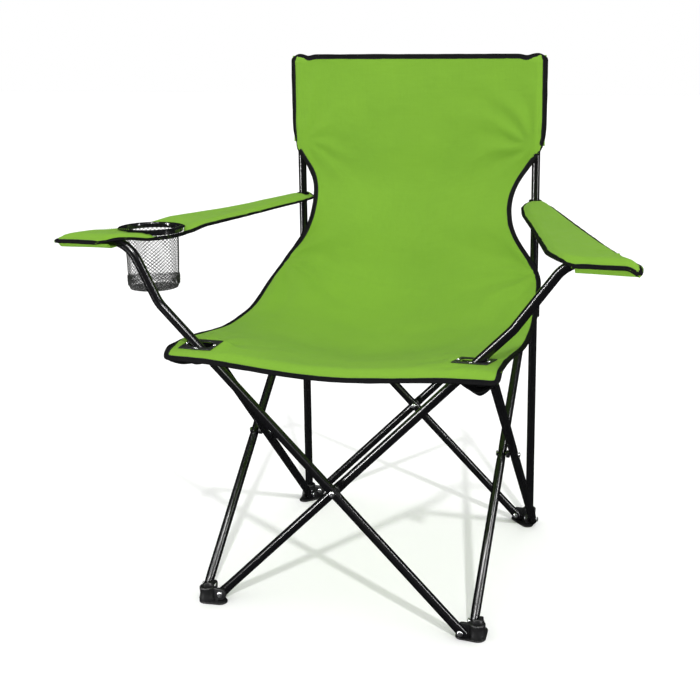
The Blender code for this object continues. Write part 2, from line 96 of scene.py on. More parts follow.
def spun(k, x, y, z):  # the point of corner k that lies as (x, y, z) does at the front right one
    point = Matrix.Rotation(k * math.pi / 2, 3, "Z") @ Vector((x, y, z))
    return at(*point)


def heading(k, x, y):
    return Matrix.Rotation(k * math.pi / 2, 3, "Z") @ Vector((x, y, 0))


def ease(x):
    x = np.clip(x, 0.0, 1.0)
    return x * x * (3 - 2 * x)


def drawn(points, x, reach=0.006):  # a line through (x, value) points, its corners rounded off
    xs, values = zip(*sorted(points))
    tap = lambda d: np.interp(np.asarray(x) + d, xs, values)
    return 0.1 * tap(-2 * reach) + 0.23 * tap(-reach) + 0.34 * tap(0) + 0.23 * tap(reach) + 0.1 * tap(2 * reach)




class Wire:  # an output socket that takes part in sums
    def __init__(self, tree, socket):
        self.tree = tree
        self.socket = socket

    def step(self, operation, *others):
        return self.tree.add("ShaderNodeMath", {"operation": operation}, dict(enumerate((self, *others))))

    def __add__(self, other):
        return self.step("ADD", other)

    def __sub__(self, other):
        return self.step("SUBTRACT", other)

    def __mul__(self, other):
        return self.step("MULTIPLY", other)

    def __truediv__(self, other):
        return self.step("DIVIDE", other)

    def __rsub__(self, other):
        return self.tree.add("ShaderNodeMath", {"operation": "SUBTRACT"}, {0: other, 1: self})

    __radd__ = __add__
    __rmul__ = __mul__


class Tree:
    def __init__(self, nodeTree):
        self.nodes = nodeTree.nodes
        self.links = nodeTree.links
        self.source = nodeTree

    def add(self, kind, settings=None, values=None, out=0):
        node = self.nodes.new(kind)
        for name, value in (settings or {}).items():
            if name == "stops":
                ramp = node.color_ramp.elements
                while len(ramp) < len(value):
                    ramp.new(0.5)
                for element, (spot, colour) in zip(ramp, value):
                    element.position = spot
                    element.color = (*colour, 1)
            else:
                setattr(node, name, value)
        for name, value in (values or {}).items():
            if isinstance(value, Wire):
                self.links.new(value.socket, node.inputs[name])
            elif value is not None:
                node.inputs[name].default_value = value
        return node if out is None else Wire(self, node.outputs[out])

    def blend(self, factor, a, b):  # of two colours
        full = lambda c: c if isinstance(c, Wire) else (*c, 1)
        return self.add("ShaderNodeMix", {"data_type": "RGBA"}, {0: factor, 6: full(a), 7: full(b)}, 2)

    def noise(self, where, scale, detail=3.0, rough=0.55):
        return self.add("ShaderNodeTexNoise", None,
                        {"Vector": where, "Scale": scale, "Detail": detail, "Roughness": rough})

    def parts(self, where):
        node = self.add("ShaderNodeSeparateXYZ", None, {0: where}, None)
        return [Wire(self, socket) for socket in node.outputs]


def finishOf(name, colour, rough, height=None, **constants):
    # colour, rough and height each take the tree and give a wire or a value
    material = bpy.data.materials.new(name)
    material.use_nodes = True
    tree = Tree(material.node_tree)
    shader = tree.nodes["Principled BSDF"]
    for key, value in constants.items():
        shader.inputs[key.replace("_", " ")].default_value = value
    for key, maker in (("Base Color", colour), ("Roughness", rough)):
        value = maker(tree)
        if isinstance(value, Wire):
            tree.links.new(value.socket, shader.inputs[key])
        else:
            shader.inputs[key].default_value = value
    if height:
        depth, distance = height(tree)
        bump = tree.add("ShaderNodeBump", None, {"Height": depth, "Distance": distance, "Strength": 1.0})
        tree.links.new(bump.socket, shader.inputs["Normal"])
    return material


def spot(tree):
    return tree.add("ShaderNodeTexCoord", out="Object")


def flatSpot(tree):  # cloth's own metres, across and along
    return tree.add("ShaderNodeUVMap", {"uv_map": "flat"}, out="UV")


# weave's thread sets how far painted shade darkens the valleys between threads
weave = {"pitch": 0.0011, "green": (0.218, 0.444, 0.0330), "shade": (0.179, 0.378, 0.0300),
         "thread": 0.10, "depth": 0.00022}


def weaveHeight(tree, pitch):
    across, along, _ = tree.parts(flatSpot(tree))
    a = (across * (math.pi / pitch)).step("SINE")
    b = (along * (math.pi / pitch)).step("SINE")
    over = (a * b).step("GREATER_THAN", 0.0)
    return over * a.step("ABSOLUTE") + (1 - over) * b.step("ABSOLUTE")


def clothColour(tree):
    uv = flatSpot(tree)
    patch = tree.noise(uv, 9.0, 4.0)
    slub = tree.noise(tree.add("ShaderNodeMapping", None, {"Vector": uv, "Scale": (420.0, 16.0, 1.0)}), 1.0,
        2.0)
    slubTwo = tree.noise(tree.add("ShaderNodeMapping", None, {"Vector": uv, "Scale": (16.0, 420.0, 1.0)}),
        1.0, 2.0)
    base = tree.blend(patch, weave["shade"], weave["green"])
    # painted shade: the weave's valleys are darkened as if shadowed between threads; the slubs add the cloth's own
    # uneven tone
    paintedValleyShade = (1 - weaveHeight(tree, weave["pitch"])) * weave["thread"]
    shade = (slub + slubTwo) * 0.14 + paintedValleyShade
    dark = tuple(0.62 * c for c in weave["shade"])
    return tree.blend(shade.step("MINIMUM", 1.0), base, dark)


def clothRough(tree):
    return 0.66 + tree.noise(flatSpot(tree), 60.0) * 0.16


def clothHeight(tree):
    uv = flatSpot(tree)
    crease = tree.noise(uv, 34.0, 5.0, 0.6)
    return weaveHeight(tree, weave["pitch"]) * weave["depth"] + crease * 0.0017, 1.0


cloth = finishOf("sling_green", clothColour, clothRough, clothHeight, Sheen_Weight=0.03, Sheen_Roughness=0.5,
                 Specular_IOR_Level=0.08)

tape = {"rib": 0.0011, "black": (0.0022, 0.0022, 0.0028), "worn": (0.010, 0.010, 0.011)}


def tapeRib(tree):
    along, across, _ = tree.parts(flatSpot(tree))
    return ((along + across * 0.7) * (2 * math.pi / tape["rib"])).step("SINE") * 0.5 + 0.5


# painted highlight: the rib crests are lightened toward the lighter tape colour, beside random wear from noise
tapeFinish = finishOf(
    "binding_tape",
    lambda tree: tree.blend(tree.noise(spot(tree), 55.0) * 0.5 + tapeRib(tree) * 0.2, tape["black"],
        tape["worn"]),
    lambda tree: 0.5 + tree.noise(spot(tree), 90.0) * 0.25,
    lambda tree: (tapeRib(tree) * 0.0002 + tree.noise(spot(tree), 160.0) * 0.0006, 1.0),
    Specular_IOR_Level=0.05)
thread = finishOf(
    "stitch_thread",
    lambda tree: tree.blend(tree.noise(spot(tree), 900.0), (0.010, 0.010, 0.012), (0.035, 0.035, 0.038)),
    lambda tree: 0.5 + tree.noise(spot(tree), 500.0) * 0.2,
    lambda tree: (tree.noise(spot(tree), 1500.0) * 0.0002, 1.0))

coat = {"black": (0.0040, 0.0040, 0.0048), "scuff": (0.030, 0.032, 0.035), "peel": 260.0}


def scuffs(tree):
    marks = tree.noise(spot(tree), 38.0, 6.0, 0.7)
    return tree.add("ShaderNodeMapRange", None, {0: marks, 1: 0.66, 2: 0.76, 3: 0.0, 4: 1.0})


tubeFinish = finishOf(
    "gloss_black_steel",
    lambda tree: tree.blend(scuffs(tree) * 0.6, coat["black"], coat["scuff"]),
    lambda tree: 0.17 + tree.noise(spot(tree), 70.0) * 0.08 + scuffs(tree) * 0.22,
    lambda tree: (tree.noise(spot(tree), coat["peel"], 2.0) * 0.00004, 1.0),
    Specular_IOR_Level=0.45, Coat_Weight=0.15, Coat_Roughness=0.08)
plasticFinish = finishOf(
    "satin_black_nylon",
    lambda tree: tree.blend(tree.noise(spot(tree), 120.0), (0.0060, 0.0062, 0.0068), (0.014, 0.0145, 0.0155)),
    lambda tree: 0.36 + tree.noise(spot(tree), 160.0) * 0.16,
    lambda tree: (tree.noise(spot(tree), 1400.0, 2.0) * 0.00016, 1.0))
glossPlastic = finishOf(
    "gloss_black_ring",
    lambda tree: tree.blend(tree.noise(spot(tree), 80.0), (0.004, 0.004, 0.005), (0.010, 0.010, 0.011)),
    lambda tree: 0.10 + tree.noise(spot(tree), 60.0) * 0.10,
    lambda tree: (tree.noise(spot(tree), 300.0) * 0.00006, 1.0), Coat_Weight=0.4, Coat_Roughness=0.05)
zinc = finishOf(
    "zinc_plate",
    lambda tree: tree.blend(tree.noise(spot(tree), 700.0), (0.62, 0.63, 0.65), (0.86, 0.86, 0.87)),
    lambda tree: 0.22 + tree.noise(spot(tree), 900.0) * 0.18,
    lambda tree: (tree.noise(spot(tree), 1100.0) * 0.0002, 1.0), Metallic=1.0)
netFinish = finishOf(
    "net_polyester",
    lambda tree: tree.blend(tree.noise(spot(tree), 400.0), (0.006, 0.006, 0.007), (0.022, 0.022, 0.024)),
    lambda tree: 0.42 + tree.noise(spot(tree), 500.0) * 0.2,
    lambda tree: (tree.noise(spot(tree), 2400.0) * 0.0002, 1.0))



class Work:  # gathers one piece's surfaces
    def __init__(self):
        self.points = []
        self.faces = []
        self.slots = []
        self.flat = []

    def add(self, points, faces, slot=0, flat=None):
        start = len(self.points)
        self.points.extend(tuple(map(float, p)) for p in points)
        self.flat.extend(flat if flat is not None else [(0.0, 0.0)] * len(points))
        self.faces.extend([tuple(start + i for i in face) for face in faces])
        self.slots.extend([slot] * len(faces))

    def piece(self, name, *materials, sharp=40):
        mesh = bpy.data.meshes.new(name)
        mesh.from_pydata(self.points, [], self.faces)
        for material in materials:
            mesh.materials.append(material)
        layer = mesh.uv_layers.new(name="flat")
        index = np.zeros(len(mesh.loops), np.int32)
        mesh.loops.foreach_get("vertex_index", index)
        layer.data.foreach_set("uv", np.array(self.flat, np.float32)[index].ravel())
        mesh.polygons.foreach_set("material_index", self.slots)
        bm = bmesh.new()
        bm.from_mesh(mesh)
        bmesh.ops.recalc_face_normals(bm, faces=bm.faces)
        bm.to_mesh(mesh)
        bm.free()
        mesh.shade_smooth()
        mesh.set_sharp_from_angle(angle=math.radians(sharp))
        obj = bpy.data.objects.new(name, mesh)
        scene.collection.objects.link(obj)
        return obj

    def rings(self, rings, closed=False, slot=0, flat=None):  # equal loops of points, skinned in order
        count, around = len(rings), len(rings[0])
        faces = []
        for i in range(count if closed else count - 1):
            j = (i + 1) % count
            faces += [(i * around + a, i * around + (a + 1) % around, j * around + (a + 1) % around,
                j * around + a)
                      for a in range(around)]
        if not closed:
            faces.append(tuple(range(around))[::-1])
            faces.append(tuple((count - 1) * around + a for a in range(around)))
        self.add([p for ring in rings for p in ring], faces, slot, flat)

    def lathe(self, profile, place, steps=40, closed=False, slot=0):
        rings = []
        for r, z in profile:
            r = max(r, 0.00002)
            rings.append([place @ Vector((r * math.cos(2 * math.pi * i / steps),
                                          r * math.sin(2 * math.pi * i / steps), z)) for i in range(steps)])
        self.rings(rings, closed, slot)

    def slab(self, loop, thickness, edge, place, slot=0):  # a plate with rounded edges
        count = len(loop)
        out = []
        for i in range(count):
            before, here, after = (Vector(loop[(i + d) % count]) for d in (-1, 0, 1))
            first, second = (here - before).normalized(), (after - here).normalized()
            mean = (Vector((first.y, -first.x)) + Vector((second.y, -second.x))).normalized()
            out.append(mean / max(0.5, mean.dot(Vector((first.y, -first.x)))))
        area = sum(loop[i][0] * loop[(i + 1) % count][1] - loop[(i + 1) % count][0] * loop[i][1] for i in range(count))
        flip = 1 if area > 0 else -1
        rings = []
        for side in (-1, 1):
            for i in range(4):
                turn = math.pi / 2 * (i / 3 if side < 0 else 1 - i / 3)
                inset, z = edge * (1 - math.sin(turn)), side * (thickness / 2 - edge * (1 - math.cos(turn)))
                rings.append([place @ Vector((p[0] - flip * inset * o.x, p[1] - flip * inset * o.y, z))
                              for p, o in zip(loop, out)])
        self.rings(rings, slot=slot)


def along(start, direction):
    return Matrix.Translation(start) @ Vector(direction).to_track_quat("Z", "Y").to_matrix().to_4x4()


def arc(centre, radius, start, end, steps):
    return [(centre[0] + radius * math.cos(start + (end - start) * i / steps),
             centre[1] + radius * math.sin(start + (end - start) * i / steps)) for i in range(steps + 1)]


def settled(obj, body, *nodes, slot=None):  # rides and stands for its nodes
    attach(obj, body)
    if nodes:
        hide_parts(*nodes)
    return obj




def growTree(name, inputs):
    tree = bpy.data.node_groups.new(name, "GeometryNodeTree")
    tree.interface.new_socket("Geometry", in_out="INPUT", socket_type="NodeSocketGeometry")
    tree.interface.new_socket("Geometry", in_out="OUTPUT", socket_type="NodeSocketGeometry")
    for label, kind in inputs:
        tree.interface.new_socket(label, in_out="INPUT", socket_type="NodeSocket" + kind)
    work = Tree(tree)
    given = work.add("NodeGroupInput", out=None)
    return tree, work, {socket.name: Wire(work, socket) for socket in given.outputs if socket.name}


def ended(work, geometry, material):
    real = work.add("GeometryNodeRealizeInstances", None, {0: geometry})
    smooth = work.add("GeometryNodeSetShadeSmooth", None, {0: real})
    done = work.add("GeometryNodeSetMaterial", None, {"Geometry": smooth, "Material": material})
    work.add("NodeGroupOutput", None, {0: done}, None)


def stitchTree():
    tree, work, given = growTree("stitches", [("Pitch", "Float"), ("Length", "Float"), ("Thread", "Float"),
                                              ("Material", "Material")])
    line = work.add("GeometryNodeMeshToCurve", None, {0: given["Geometry"]})
    spots = work.add("GeometryNodeCurveToPoints", {"mode": "LENGTH"},
        {"Curve": line, "Length": given["Pitch"]}, None)
    bead = work.add("GeometryNodeMeshUVSphere", None, {"Segments": 6, "Rings": 4, "Radius": 1.0})
    size = work.add("ShaderNodeCombineXYZ", None,
                    {0: given["Thread"] * 0.5, 1: given["Thread"] * 0.5, 2: given["Length"] * 0.5})
    laid = work.add("GeometryNodeInstanceOnPoints", None, {
        "Points": Wire(work, spots.outputs["Points"]), "Instance": bead,
        "Rotation": Wire(work, spots.outputs["Rotation"]), "Scale": size})
    ended(work, laid, given["Material"])
    return tree


def netTree():
    tree, work, given = growTree("net", [("Strand", "Float"), ("Material", "Material")])
    line = work.add("GeometryNodeMeshToCurve", None, {0: given["Geometry"]})
    profile = work.add("GeometryNodeCurvePrimitiveCircle", None,
        {"Resolution": 5, "Radius": given["Strand"] * 0.5})
    skin = work.add("GeometryNodeCurveToMesh", None,
        {"Curve": line, "Profile Curve": profile, "Fill Caps": True})
    ended(work, skin, given["Material"])
    return tree


def rivetTree():
    tree, work, given = growTree("rivets", [("Shank", "Float"), ("Head", "Object"), ("Material", "Material")])
    head = work.add("GeometryNodeObjectInfo", {"transform_space": "ORIGINAL"}, {"Object": given["Head"]},
        "Geometry")
    facing = work.add("GeometryNodeInputNamedAttribute", {"data_type": "FLOAT_VECTOR"}, {"Name": "facing"})
    turned = work.add("FunctionNodeAlignRotationToVector", {"axis": "Z"}, {"Vector": facing})
    heads = work.add("GeometryNodeInstanceOnPoints", None, {"Points": given["Geometry"], "Instance": head,
                                                            "Rotation": turned})
    line = work.add("GeometryNodeMeshToCurve", None, {0: given["Geometry"]})
    profile = work.add("GeometryNodeCurvePrimitiveCircle", None, {"Resolution": 16, "Radius": given["Shank"]})
    shank = work.add("GeometryNodeCurveToMesh", None,
        {"Curve": line, "Profile Curve": profile, "Fill Caps": True})
    both = work.add("GeometryNodeJoinGeometry", None, None, None)
    for wire in (heads, shank):
        work.links.new(wire.socket, both.inputs[0])
    ended(work, Wire(work, both.outputs[0]), given["Material"])
    return tree


trees = {"stitches": stitchTree(), "net": netTree(), "rivets": rivetTree()}


# runs a tree over a wire mesh and keeps the result
def grown(name, points, edges, kind, values, facing=None):
    mesh = bpy.data.meshes.new(name + "_wire")
    mesh.from_pydata([tuple(p) for p in points], edges, [])
    if facing:
        attribute = mesh.attributes.new("facing", "FLOAT_VECTOR", "POINT")
        attribute.data.foreach_set("vector", np.array(facing, np.float32).ravel())
    wire = bpy.data.objects.new(name + "_wire", mesh)
    scene.collection.objects.link(wire)
    modifier = wire.modifiers.new(kind, "NODES")
    modifier.node_group = trees[kind]
    sockets = {item.name: item.identifier for item in trees[kind].interface.items_tree if item.in_out == "INPUT"}
    for label, value in values.items():
        modifier[sockets[label]] = value
    graph = bpy.context.evaluated_depsgraph_get()
    graph.update()
    made = bpy.data.meshes.new_from_object(wire.evaluated_get(graph))
    made.name = name
    bpy.data.objects.remove(wire, do_unlink=True)
    obj = bpy.data.objects.new(name, made)
    scene.collection.objects.link(obj)
    return obj



# straight, steep, tip
armPath = {"left": (0.110, 62.9, 0.103, 0.0820), "right": (0.094, 53.5, 0.1244, 0.0680),
           "tipAngle": 1.5, "bend": 0.055}
tubeLook = {"around": 32, "step": 0.006, "dent": 0.09, "dentReach": 0.010}


def rounded(corners, radius, steps=14):
    path = [corners[0]]
    for before, here, after in zip(corners, corners[1:], corners[2:]):
        back, on = (before - here).normalized(), (after - here).normalized()
        half = back.angle(on) / 2
        centre = here + (back + on).normalized() * radius / math.sin(half)
        first = here + back * radius / math.tan(half) - centre
        last = here + on * radius / math.tan(half) - centre
        path += [centre + first.slerp(last, i / steps) * radius / first.slerp(last, i / steps).length
                 for i in range(steps + 1)]
    return path + [corners[-1]]


def fine(path, step):
    points = [path[0]]
    for first, last in zip(path, path[1:]):
        count = max(1, round((last - first).length / step))
        points += [first.lerp(last, (i + 1) / count) for i in range(count)]
    return points


def addTube(work, path, across, radius, dents=(), wall=steel["wall"], deep=0.012):
    points = fine(path, tubeLook["step"])
    rings = []

    def ring(point, direction, wide, size):
        up = direction.cross(across).normalized()
        rings.append([point + across * size * wide * math.cos(a) + up * size * (2 - wide) * math.sin(a)
                      for a in (2 * math.pi * i / tubeLook["around"] for i in range(tubeLook["around"]))])

    start, end = (points[1] - points[0]).normalized(), (points[-1] - points[-2]).normalized()
    lip = wall * 0.4
    for depth, size in ((deep, radius - wall), (0.0003, radius - wall), (0, radius - wall + lip),
        (0, radius - lip)):
        ring(points[0] + start * depth, start, 1, size)
    for i, point in enumerate(points):
        direction = (points[min(i + 1, len(points) - 1)] - points[max(i - 1, 0)]).normalized()
        near = sum(math.exp(-((point - dent).length / tubeLook["dentReach"]) ** 2) for dent in dents)
        shift = start * lip if i == 0 else end * -lip if i == len(points) - 1 else Vector()
        ring(point + shift, direction, 1 - tubeLook["dent"] * min(near, 1), radius)
    for depth, size in ((0, radius - lip), (0, radius - wall + lip), (0.0003, radius - wall),
        (deep, radius - wall)):
        ring(points[-1] - end * depth, end, 1, size)
    work.rings(rings)


tubePaths = {}
for k in range(4):
    for inner in (False, True):
        across = heading(k, 1, 0) if inner else heading(k, 0, 1)
        if inner:
            x = corner - steel["layer"]
            foot, top = spun(k, x, -span, steel["footPivot"]), spun(k, x, span, topPivot)
        else:
            y = -corner - steel["layer"]
            foot, top = spun(k, span, y, steel["footPivot"]), spun(k, -span, y, topPivot)
        way = (top - foot).normalized()
        low = foot - way * steel["overrun"]
        side = sideNames[(k + 1) % 4 if inner else k]
        if side == "front":
            out = Vector((math.copysign(1, top.x), 0, 0))
            straight, steep, steepLength, tipLength = armPath["right" if inner else "left"]
            steep, tip = math.radians(steep), math.radians(armPath["tipAngle"])
            first = top + way * straight
            second = first + (out * math.cos(steep) + Vector((0, 0, math.sin(steep)))) * steepLength
            third = second + (out * math.cos(tip) + Vector((0, 0, math.sin(tip)))) * tipLength
            path = rounded([low, first, second, third], armPath["bend"])
        else:
            path = [low, top + way * steel["overrun"]]
        which = "inner" if inner else "outer"
        tubePaths[side, which] = path
        work = Work()
        addTube(work, path, across, steel["tube"], [foot, (foot + top) / 2, top])
        settled(work.piece(f"{side}_{which}_tube", tubeFinish), f"{side}_{which}",
                f"{side}_tube_{which}", slot="frame_tube")

for k, name in ((1, "right"), (2, "left")):
    work = Work()
    low, high = (spun(k, corner, -corner, z) for z in (steel["socketFloor"], steel["postTop"]))
    addTube(work, [low, high], Vector((1, 0, 0)), steel["tube"])
    settled(work.piece(f"{name}_post", tubeFinish), footBody["rear_" + name], "post_" + name,
        slot="frame_tube")
print("camp chair: tubes bent")


rivetLook = {"head": 0.0047, "height": 0.0024, "shank": 0.0023, "dimple": 0.0011}


def rivetHead():
    r, h = rivetLook["head"], rivetLook["height"]
    profile = [(0, -0.0012), (r * 0.5, -0.0012), (r * 0.5, 0.0), (r * 0.97, 0.0), (r, h * 0.12),
        (r * 0.97, h * 0.3)]
    profile += [(r * 0.95 * math.cos(a), h * (0.3 + 0.7 * math.sin(a))) for a in (0.25, 0.5, 0.75, 1.0, 1.2)]
    profile += [(rivetLook["dimple"], h * 0.97), (rivetLook["dimple"] * 0.7, h * 0.84), (0, h * 0.8)]
    work = Work()
    work.lathe(profile, Matrix.Identity(4), 20)
    obj = work.piece("rivet_head", zinc, sharp=60)
    scene.collection.objects.unlink(obj)
    return obj


head = rivetHead()
rivets = {}


def rivet(body, node, first, last):
    rivets.setdefault(body, []).append((node, first, last))


lugFace, rivetFace = 0.0030, 0.0178
for k in range(4):
    here = cornerNames[k]
    low, high = steel["footPivot"], topPivot
    rivet(footBody[here], f"rivet_foot_{here}_outer", spun(k, span, -corner + lugFace, low),
          spun(k, span, -corner - rivetFace, low))
    rivet(footBody[here], f"rivet_foot_{here}_inner", spun(k, corner + lugFace, -span, low),
          spun(k, corner - rivetFace, -span, low))
    rivet(topBody[here], f"rivet_top_{here}_inner", spun(k, span, -corner - lugFace, high),
          spun(k, span, -corner + rivetFace, high))
    rivet(topBody[here], f"rivet_top_{here}_outer", spun(k, corner - lugFace, -span, high),
          spun(k, corner + rivetFace, -span, high))
    rivet(sideNames[k] + "_outer", f"rivet_crossing_{sideNames[k]}",
        spun(k, 0, -corner + rivetFace, crossHeight),
          spun(k, 0, -corner - rivetFace, crossHeight))
for body, group in rivets.items():
    points, edges, facing = [], [], []
    for node, first, last in group:
        edges.append((len(points), len(points) + 1))
        points += [first, last]
        facing += [tuple((first - last).normalized()), tuple((last - first).normalized())]
    made = grown(body + "_rivets", points, edges, "rivets",
                 {"Shank": rivetLook["shank"], "Head": head, "Material": zinc}, facing)
    settled(made, body, *[g[0] for g in group], slot="rivets")
print("camp chair: rivets set")


lugLook = {"thickness": 0.0054, "radius": 0.0092, "edge": 0.0009, "start": 0.0082}
footLook = {"base": 0.0119, "rim": 0.0113, "height": 0.0245, "socket": 0.0076, "plate": 0.0024,
    "plateRound": 0.0108}


def addLugs(work, k, height, radius=None):
    radius = radius or lugLook["radius"]
    loop = [(lugLook["start"], -radius), *arc((steel["inset"], 0), radius, -math.pi / 2, math.pi / 2, 16),
            (lugLook["start"], radius)]
    boss = [(steel["inset"] + 0.0058 * math.cos(a), 0.0058 * math.sin(a)) for a in
            (2 * math.pi * i / 24 for i in range(24))]
    for turn in (math.pi, math.pi / 2):
        place = (Matrix.Translation(spun(k, corner, -corner, height))
                 @ Matrix.Rotation(k * math.pi / 2 + turn, 4, "Z") @ Matrix.Rotation(math.pi / 2, 4, "X"))
        work.slab(loop, lugLook["thickness"], lugLook["edge"], place)
        work.slab(boss, lugLook["thickness"] + 0.0004, 0.0002, place)


for k in range(4):
    here = cornerNames[k]
    place = Matrix.Translation(spun(k, corner, -corner, 0))
    f = footLook
    work = Work()
    work.lathe([(0, 0), (f["base"] - 0.0012, 0), (f["base"], 0.0012), (f["base"] + 0.0003, 0.0050),
                (f["base"], 0.0095), (f["rim"], 0.0130), (f["rim"], f["height"] - 0.0050),
                (f["rim"] + 0.0005, f["height"] - 0.0040), (f["rim"] + 0.0005, f["height"] - 0.0010),
                (f["rim"] - 0.0004, f["height"]), (f["socket"] + 0.0008, f["height"]),
                (f["socket"], f["height"] - 0.0010), (f["socket"], steel["socketFloor"] - 0.0003),
                (0, steel["socketFloor"] - 0.0003)], place, 56)
    addLugs(work, k, steel["footPivot"])
    quarter, r = math.pi / 2, f["plateRound"]
    loop = arc((0, 0), f["base"] + 0.0008, -quarter, 0, 10)
    loop += arc((0, steel["inset"]), r, 0, 1.5 * quarter, 14) + arc((-steel["inset"], 0), r, 1.5 * quarter,
        3 * quarter, 14)
    flat = place @ Matrix.Rotation(k * quarter, 4, "Z") @ Matrix.Translation((0, 0, f["plate"] / 2))
    work.slab(loop, f["plate"], 0.0007, flat)
    inner = 0.0025  # the block between the lugs, clear of both tubes
    block = [(-0.0185, -inner), (-0.0170, inner), (-inner, 0.0170), (inner, 0.0185), (inner, -inner)]
    work.slab(block, 0.0100, 0.0008, place @ Matrix.Rotation(k * quarter, 4,
        "Z") @ Matrix.Translation((0, 0, 0.0068)))
    eye = heading(k, 1, -1).normalized()  # screw recess on the outer corner
    work.lathe([(0.0027, -0.0004), (0.0027, 0.0004), (0.0023, 0.0006), (0.0018, 0.0004), (0.0015, -0.0004)],
               along(spun(k, corner, -corner, 0.0065) + eye * (f["base"] + 0.0001), eye), 20, True)
    settled(work.piece(here + "_foot", plasticFinish), footBody[here], "foot_" + here,
        slot="plastic_fittings")

    work = Work()
    place = Matrix.Translation(spun(k, corner, -corner, topPivot))
    if here.startswith("rear"):
        work.lathe([(0.0077, -0.0130), (0.0102, -0.0130), (0.0112, -0.0120), (0.0112, 0.0110),
            (0.0106, 0.0125),
                    (0.0101, 0.0400), (0.0107, 0.0412), (0.0110, 0.0425), (0.0110, 0.0470), (0.0104, 0.0480),
                    (0.0082, 0.0480), (0.0077, 0.0475)], place, 48, True)
        name, node = "slider", "slider_" + here.split("_")[1]
    else:
        work.lathe([(0, -0.0145), (0.0082, -0.0145), (0.0096, -0.0137), (0.0100, -0.0120), (0.0100, -0.0020),
                    (0.0092, -0.0004), (0, 0)], place, 48)
        name, node = "bracket", "bracket_" + here.split("_")[1]
    addLugs(work, k, topPivot)
    settled(work.piece(f"{here}_{name}", plasticFinish), topBody[here], node, slot="plastic_fittings")

    work = Work()
    work.lathe([(0.0027, 0.0026), (0.0055, 0.0026), (0.0062, 0.0020), (0.0062, -0.0020), (0.0055, -0.0026),
                (0.0027, -0.0026)], along(spun(k, 0, -corner, crossHeight), heading(k, 0, 1)), 32, True)
    settled(work.piece(sideNames[k] + "_spacer", plasticFinish), sideNames[k] + "_outer",
        "spacer_" + sideNames[k],
            slot="plastic_fittings")


def capPiece(name, tip, direction, body, node):
    work = Work()
    r = steel["tube"]
    work.lathe([(0, 0.0029), (r * 0.45, 0.0028), (r * 0.8, 0.0023), (r * 0.97, 0.0013), (r, 0.0006),
        (r * 0.97, 0.0003),
                (r - 0.0014, 0.0003), (r - 0.0016, -0.0110), (r - 0.0022, -0.0118), (0, -0.0118)],
               along(tip, direction), 40)
    settled(work.piece(name, plasticFinish), body, node, slot="plastic_fittings")


for k, name in ((1, "right"), (2, "left")):
    capPiece(f"{name}_post_cap", spun(k, corner, -corner, steel["postTop"]), Vector((0, 0, 1)),
             footBody["rear_" + name], "post_cap_" + name)
for which, name in (("outer", "left"), ("inner", "right")):
    path = tubePaths["front", which]
    capPiece(f"{name}_arm_cap", path[-1], path[-1] - path[-2], "front_" + which, "arm_cap_" + name)
print("camp chair: moulded pieces done")



def gridNormals(grid):
    across, down = np.gradient(grid, axis=1), np.gradient(grid, axis=0)
    normal = np.cross(across, down)
    return normal / np.maximum(np.linalg.norm(normal, axis=2, keepdims=True), 1e-12)


def flatSizes(grid):  # each grid point's metres across and along, for the weave
    across = np.linalg.norm(np.diff(grid, axis=1), axis=2).mean(0)
    down = np.linalg.norm(np.diff(grid, axis=0), axis=2).mean(1)
    u, v = np.concatenate([[0], np.cumsum(across)]), np.concatenate([[0], np.cumsum(down)])
    return np.stack(np.meshgrid(u, v), axis=2)


def addCloth(work, grid, thickness, keep=None, slot=0):  # a closed sheet with a wall all round
    rows, columns = grid.shape[:2]
    keep = np.ones((rows - 1, columns - 1), bool) if keep is None else keep
    normal = gridNormals(grid) * thickness / 2
    flat = flatSizes(grid).reshape(-1, 2)
    points = np.concatenate([(grid + normal).reshape(-1, 3), (grid - normal).reshape(-1, 3)])
    half = rows * columns
    top = []
    for r, c in zip(*np.nonzero(keep)):
        a = r * columns + c
        top.append((a, a + 1, a + columns + 1, a + columns))
    edges = {}
    for face in top:
        for first, last in zip(face, face[1:] + face[:1]):
            edges[frozenset((first, last))] = edges.get(frozenset((first, last)), 0) + 1
    faces = list(top) + [tuple(half + i for i in face[::-1]) for face in top]
    for face in top:
        for first, last in zip(face, face[1:] + face[:1]):
            if edges[frozenset((first, last))] == 1:
                faces.append((first, half + first, half + last, last))
    used = sorted({i for face in faces for i in face})
    new = {old: i for i, old in enumerate(used)}
    both = np.concatenate([flat, flat])
    work.add(points[used], [tuple(new[i] for i in face) for face in faces], slot,
        [tuple(both[i]) for i in used])


def cutHole(grid, keep, centre, radius):  # drops the faces inside a circle and rounds the edge they leave
    middle = (grid[:-1, :-1] + grid[1:, :-1] + grid[:-1, 1:] + grid[1:, 1:]) / 4
    keep &= np.hypot(middle[..., 0] - centre[0], middle[..., 1] - centre[1]) > radius
    for r in range(1, grid.shape[0] - 1):
        for c in range(1, grid.shape[1] - 1):
            around = keep[r - 1:r + 1, c - 1:c + 1]
            if around.any() and not around.all():
                out = grid[r, c, :2] - centre[:2]
                reach = np.hypot(*out)
                if reach < radius * 1.6:
                    grid[r, c, :2] = centre[:2] + out / reach * radius


def roundCorner(grid, row, column, radius):  # bends a square corner of the sheet into a round one
    rowStep, columnStep = (-1 if row else 1), (-1 if column else 1)
    tip = grid[row, column].copy()
    across = grid[row, column + 4 * columnStep] - tip
    down = grid[row + 4 * rowStep, column] - tip
    across, down = across / np.linalg.norm(across), down / np.linalg.norm(down)
    old = grid.copy()
    for i in range(14):
        for j in range(14):
            r, c = row + i * rowStep, column + j * columnStep
            a, b = np.linalg.norm(old[r, c] - old[r, column]), np.linalg.norm(old[r, c] - old[row, c])
            if a < radius and b < radius:
                out = np.array([radius - a, radius - b])
                share = out.max() / np.linalg.norm(out)
                grid[r, c] += across * (radius - out[0] * share - a) + down * (radius - out[1] * share - b)


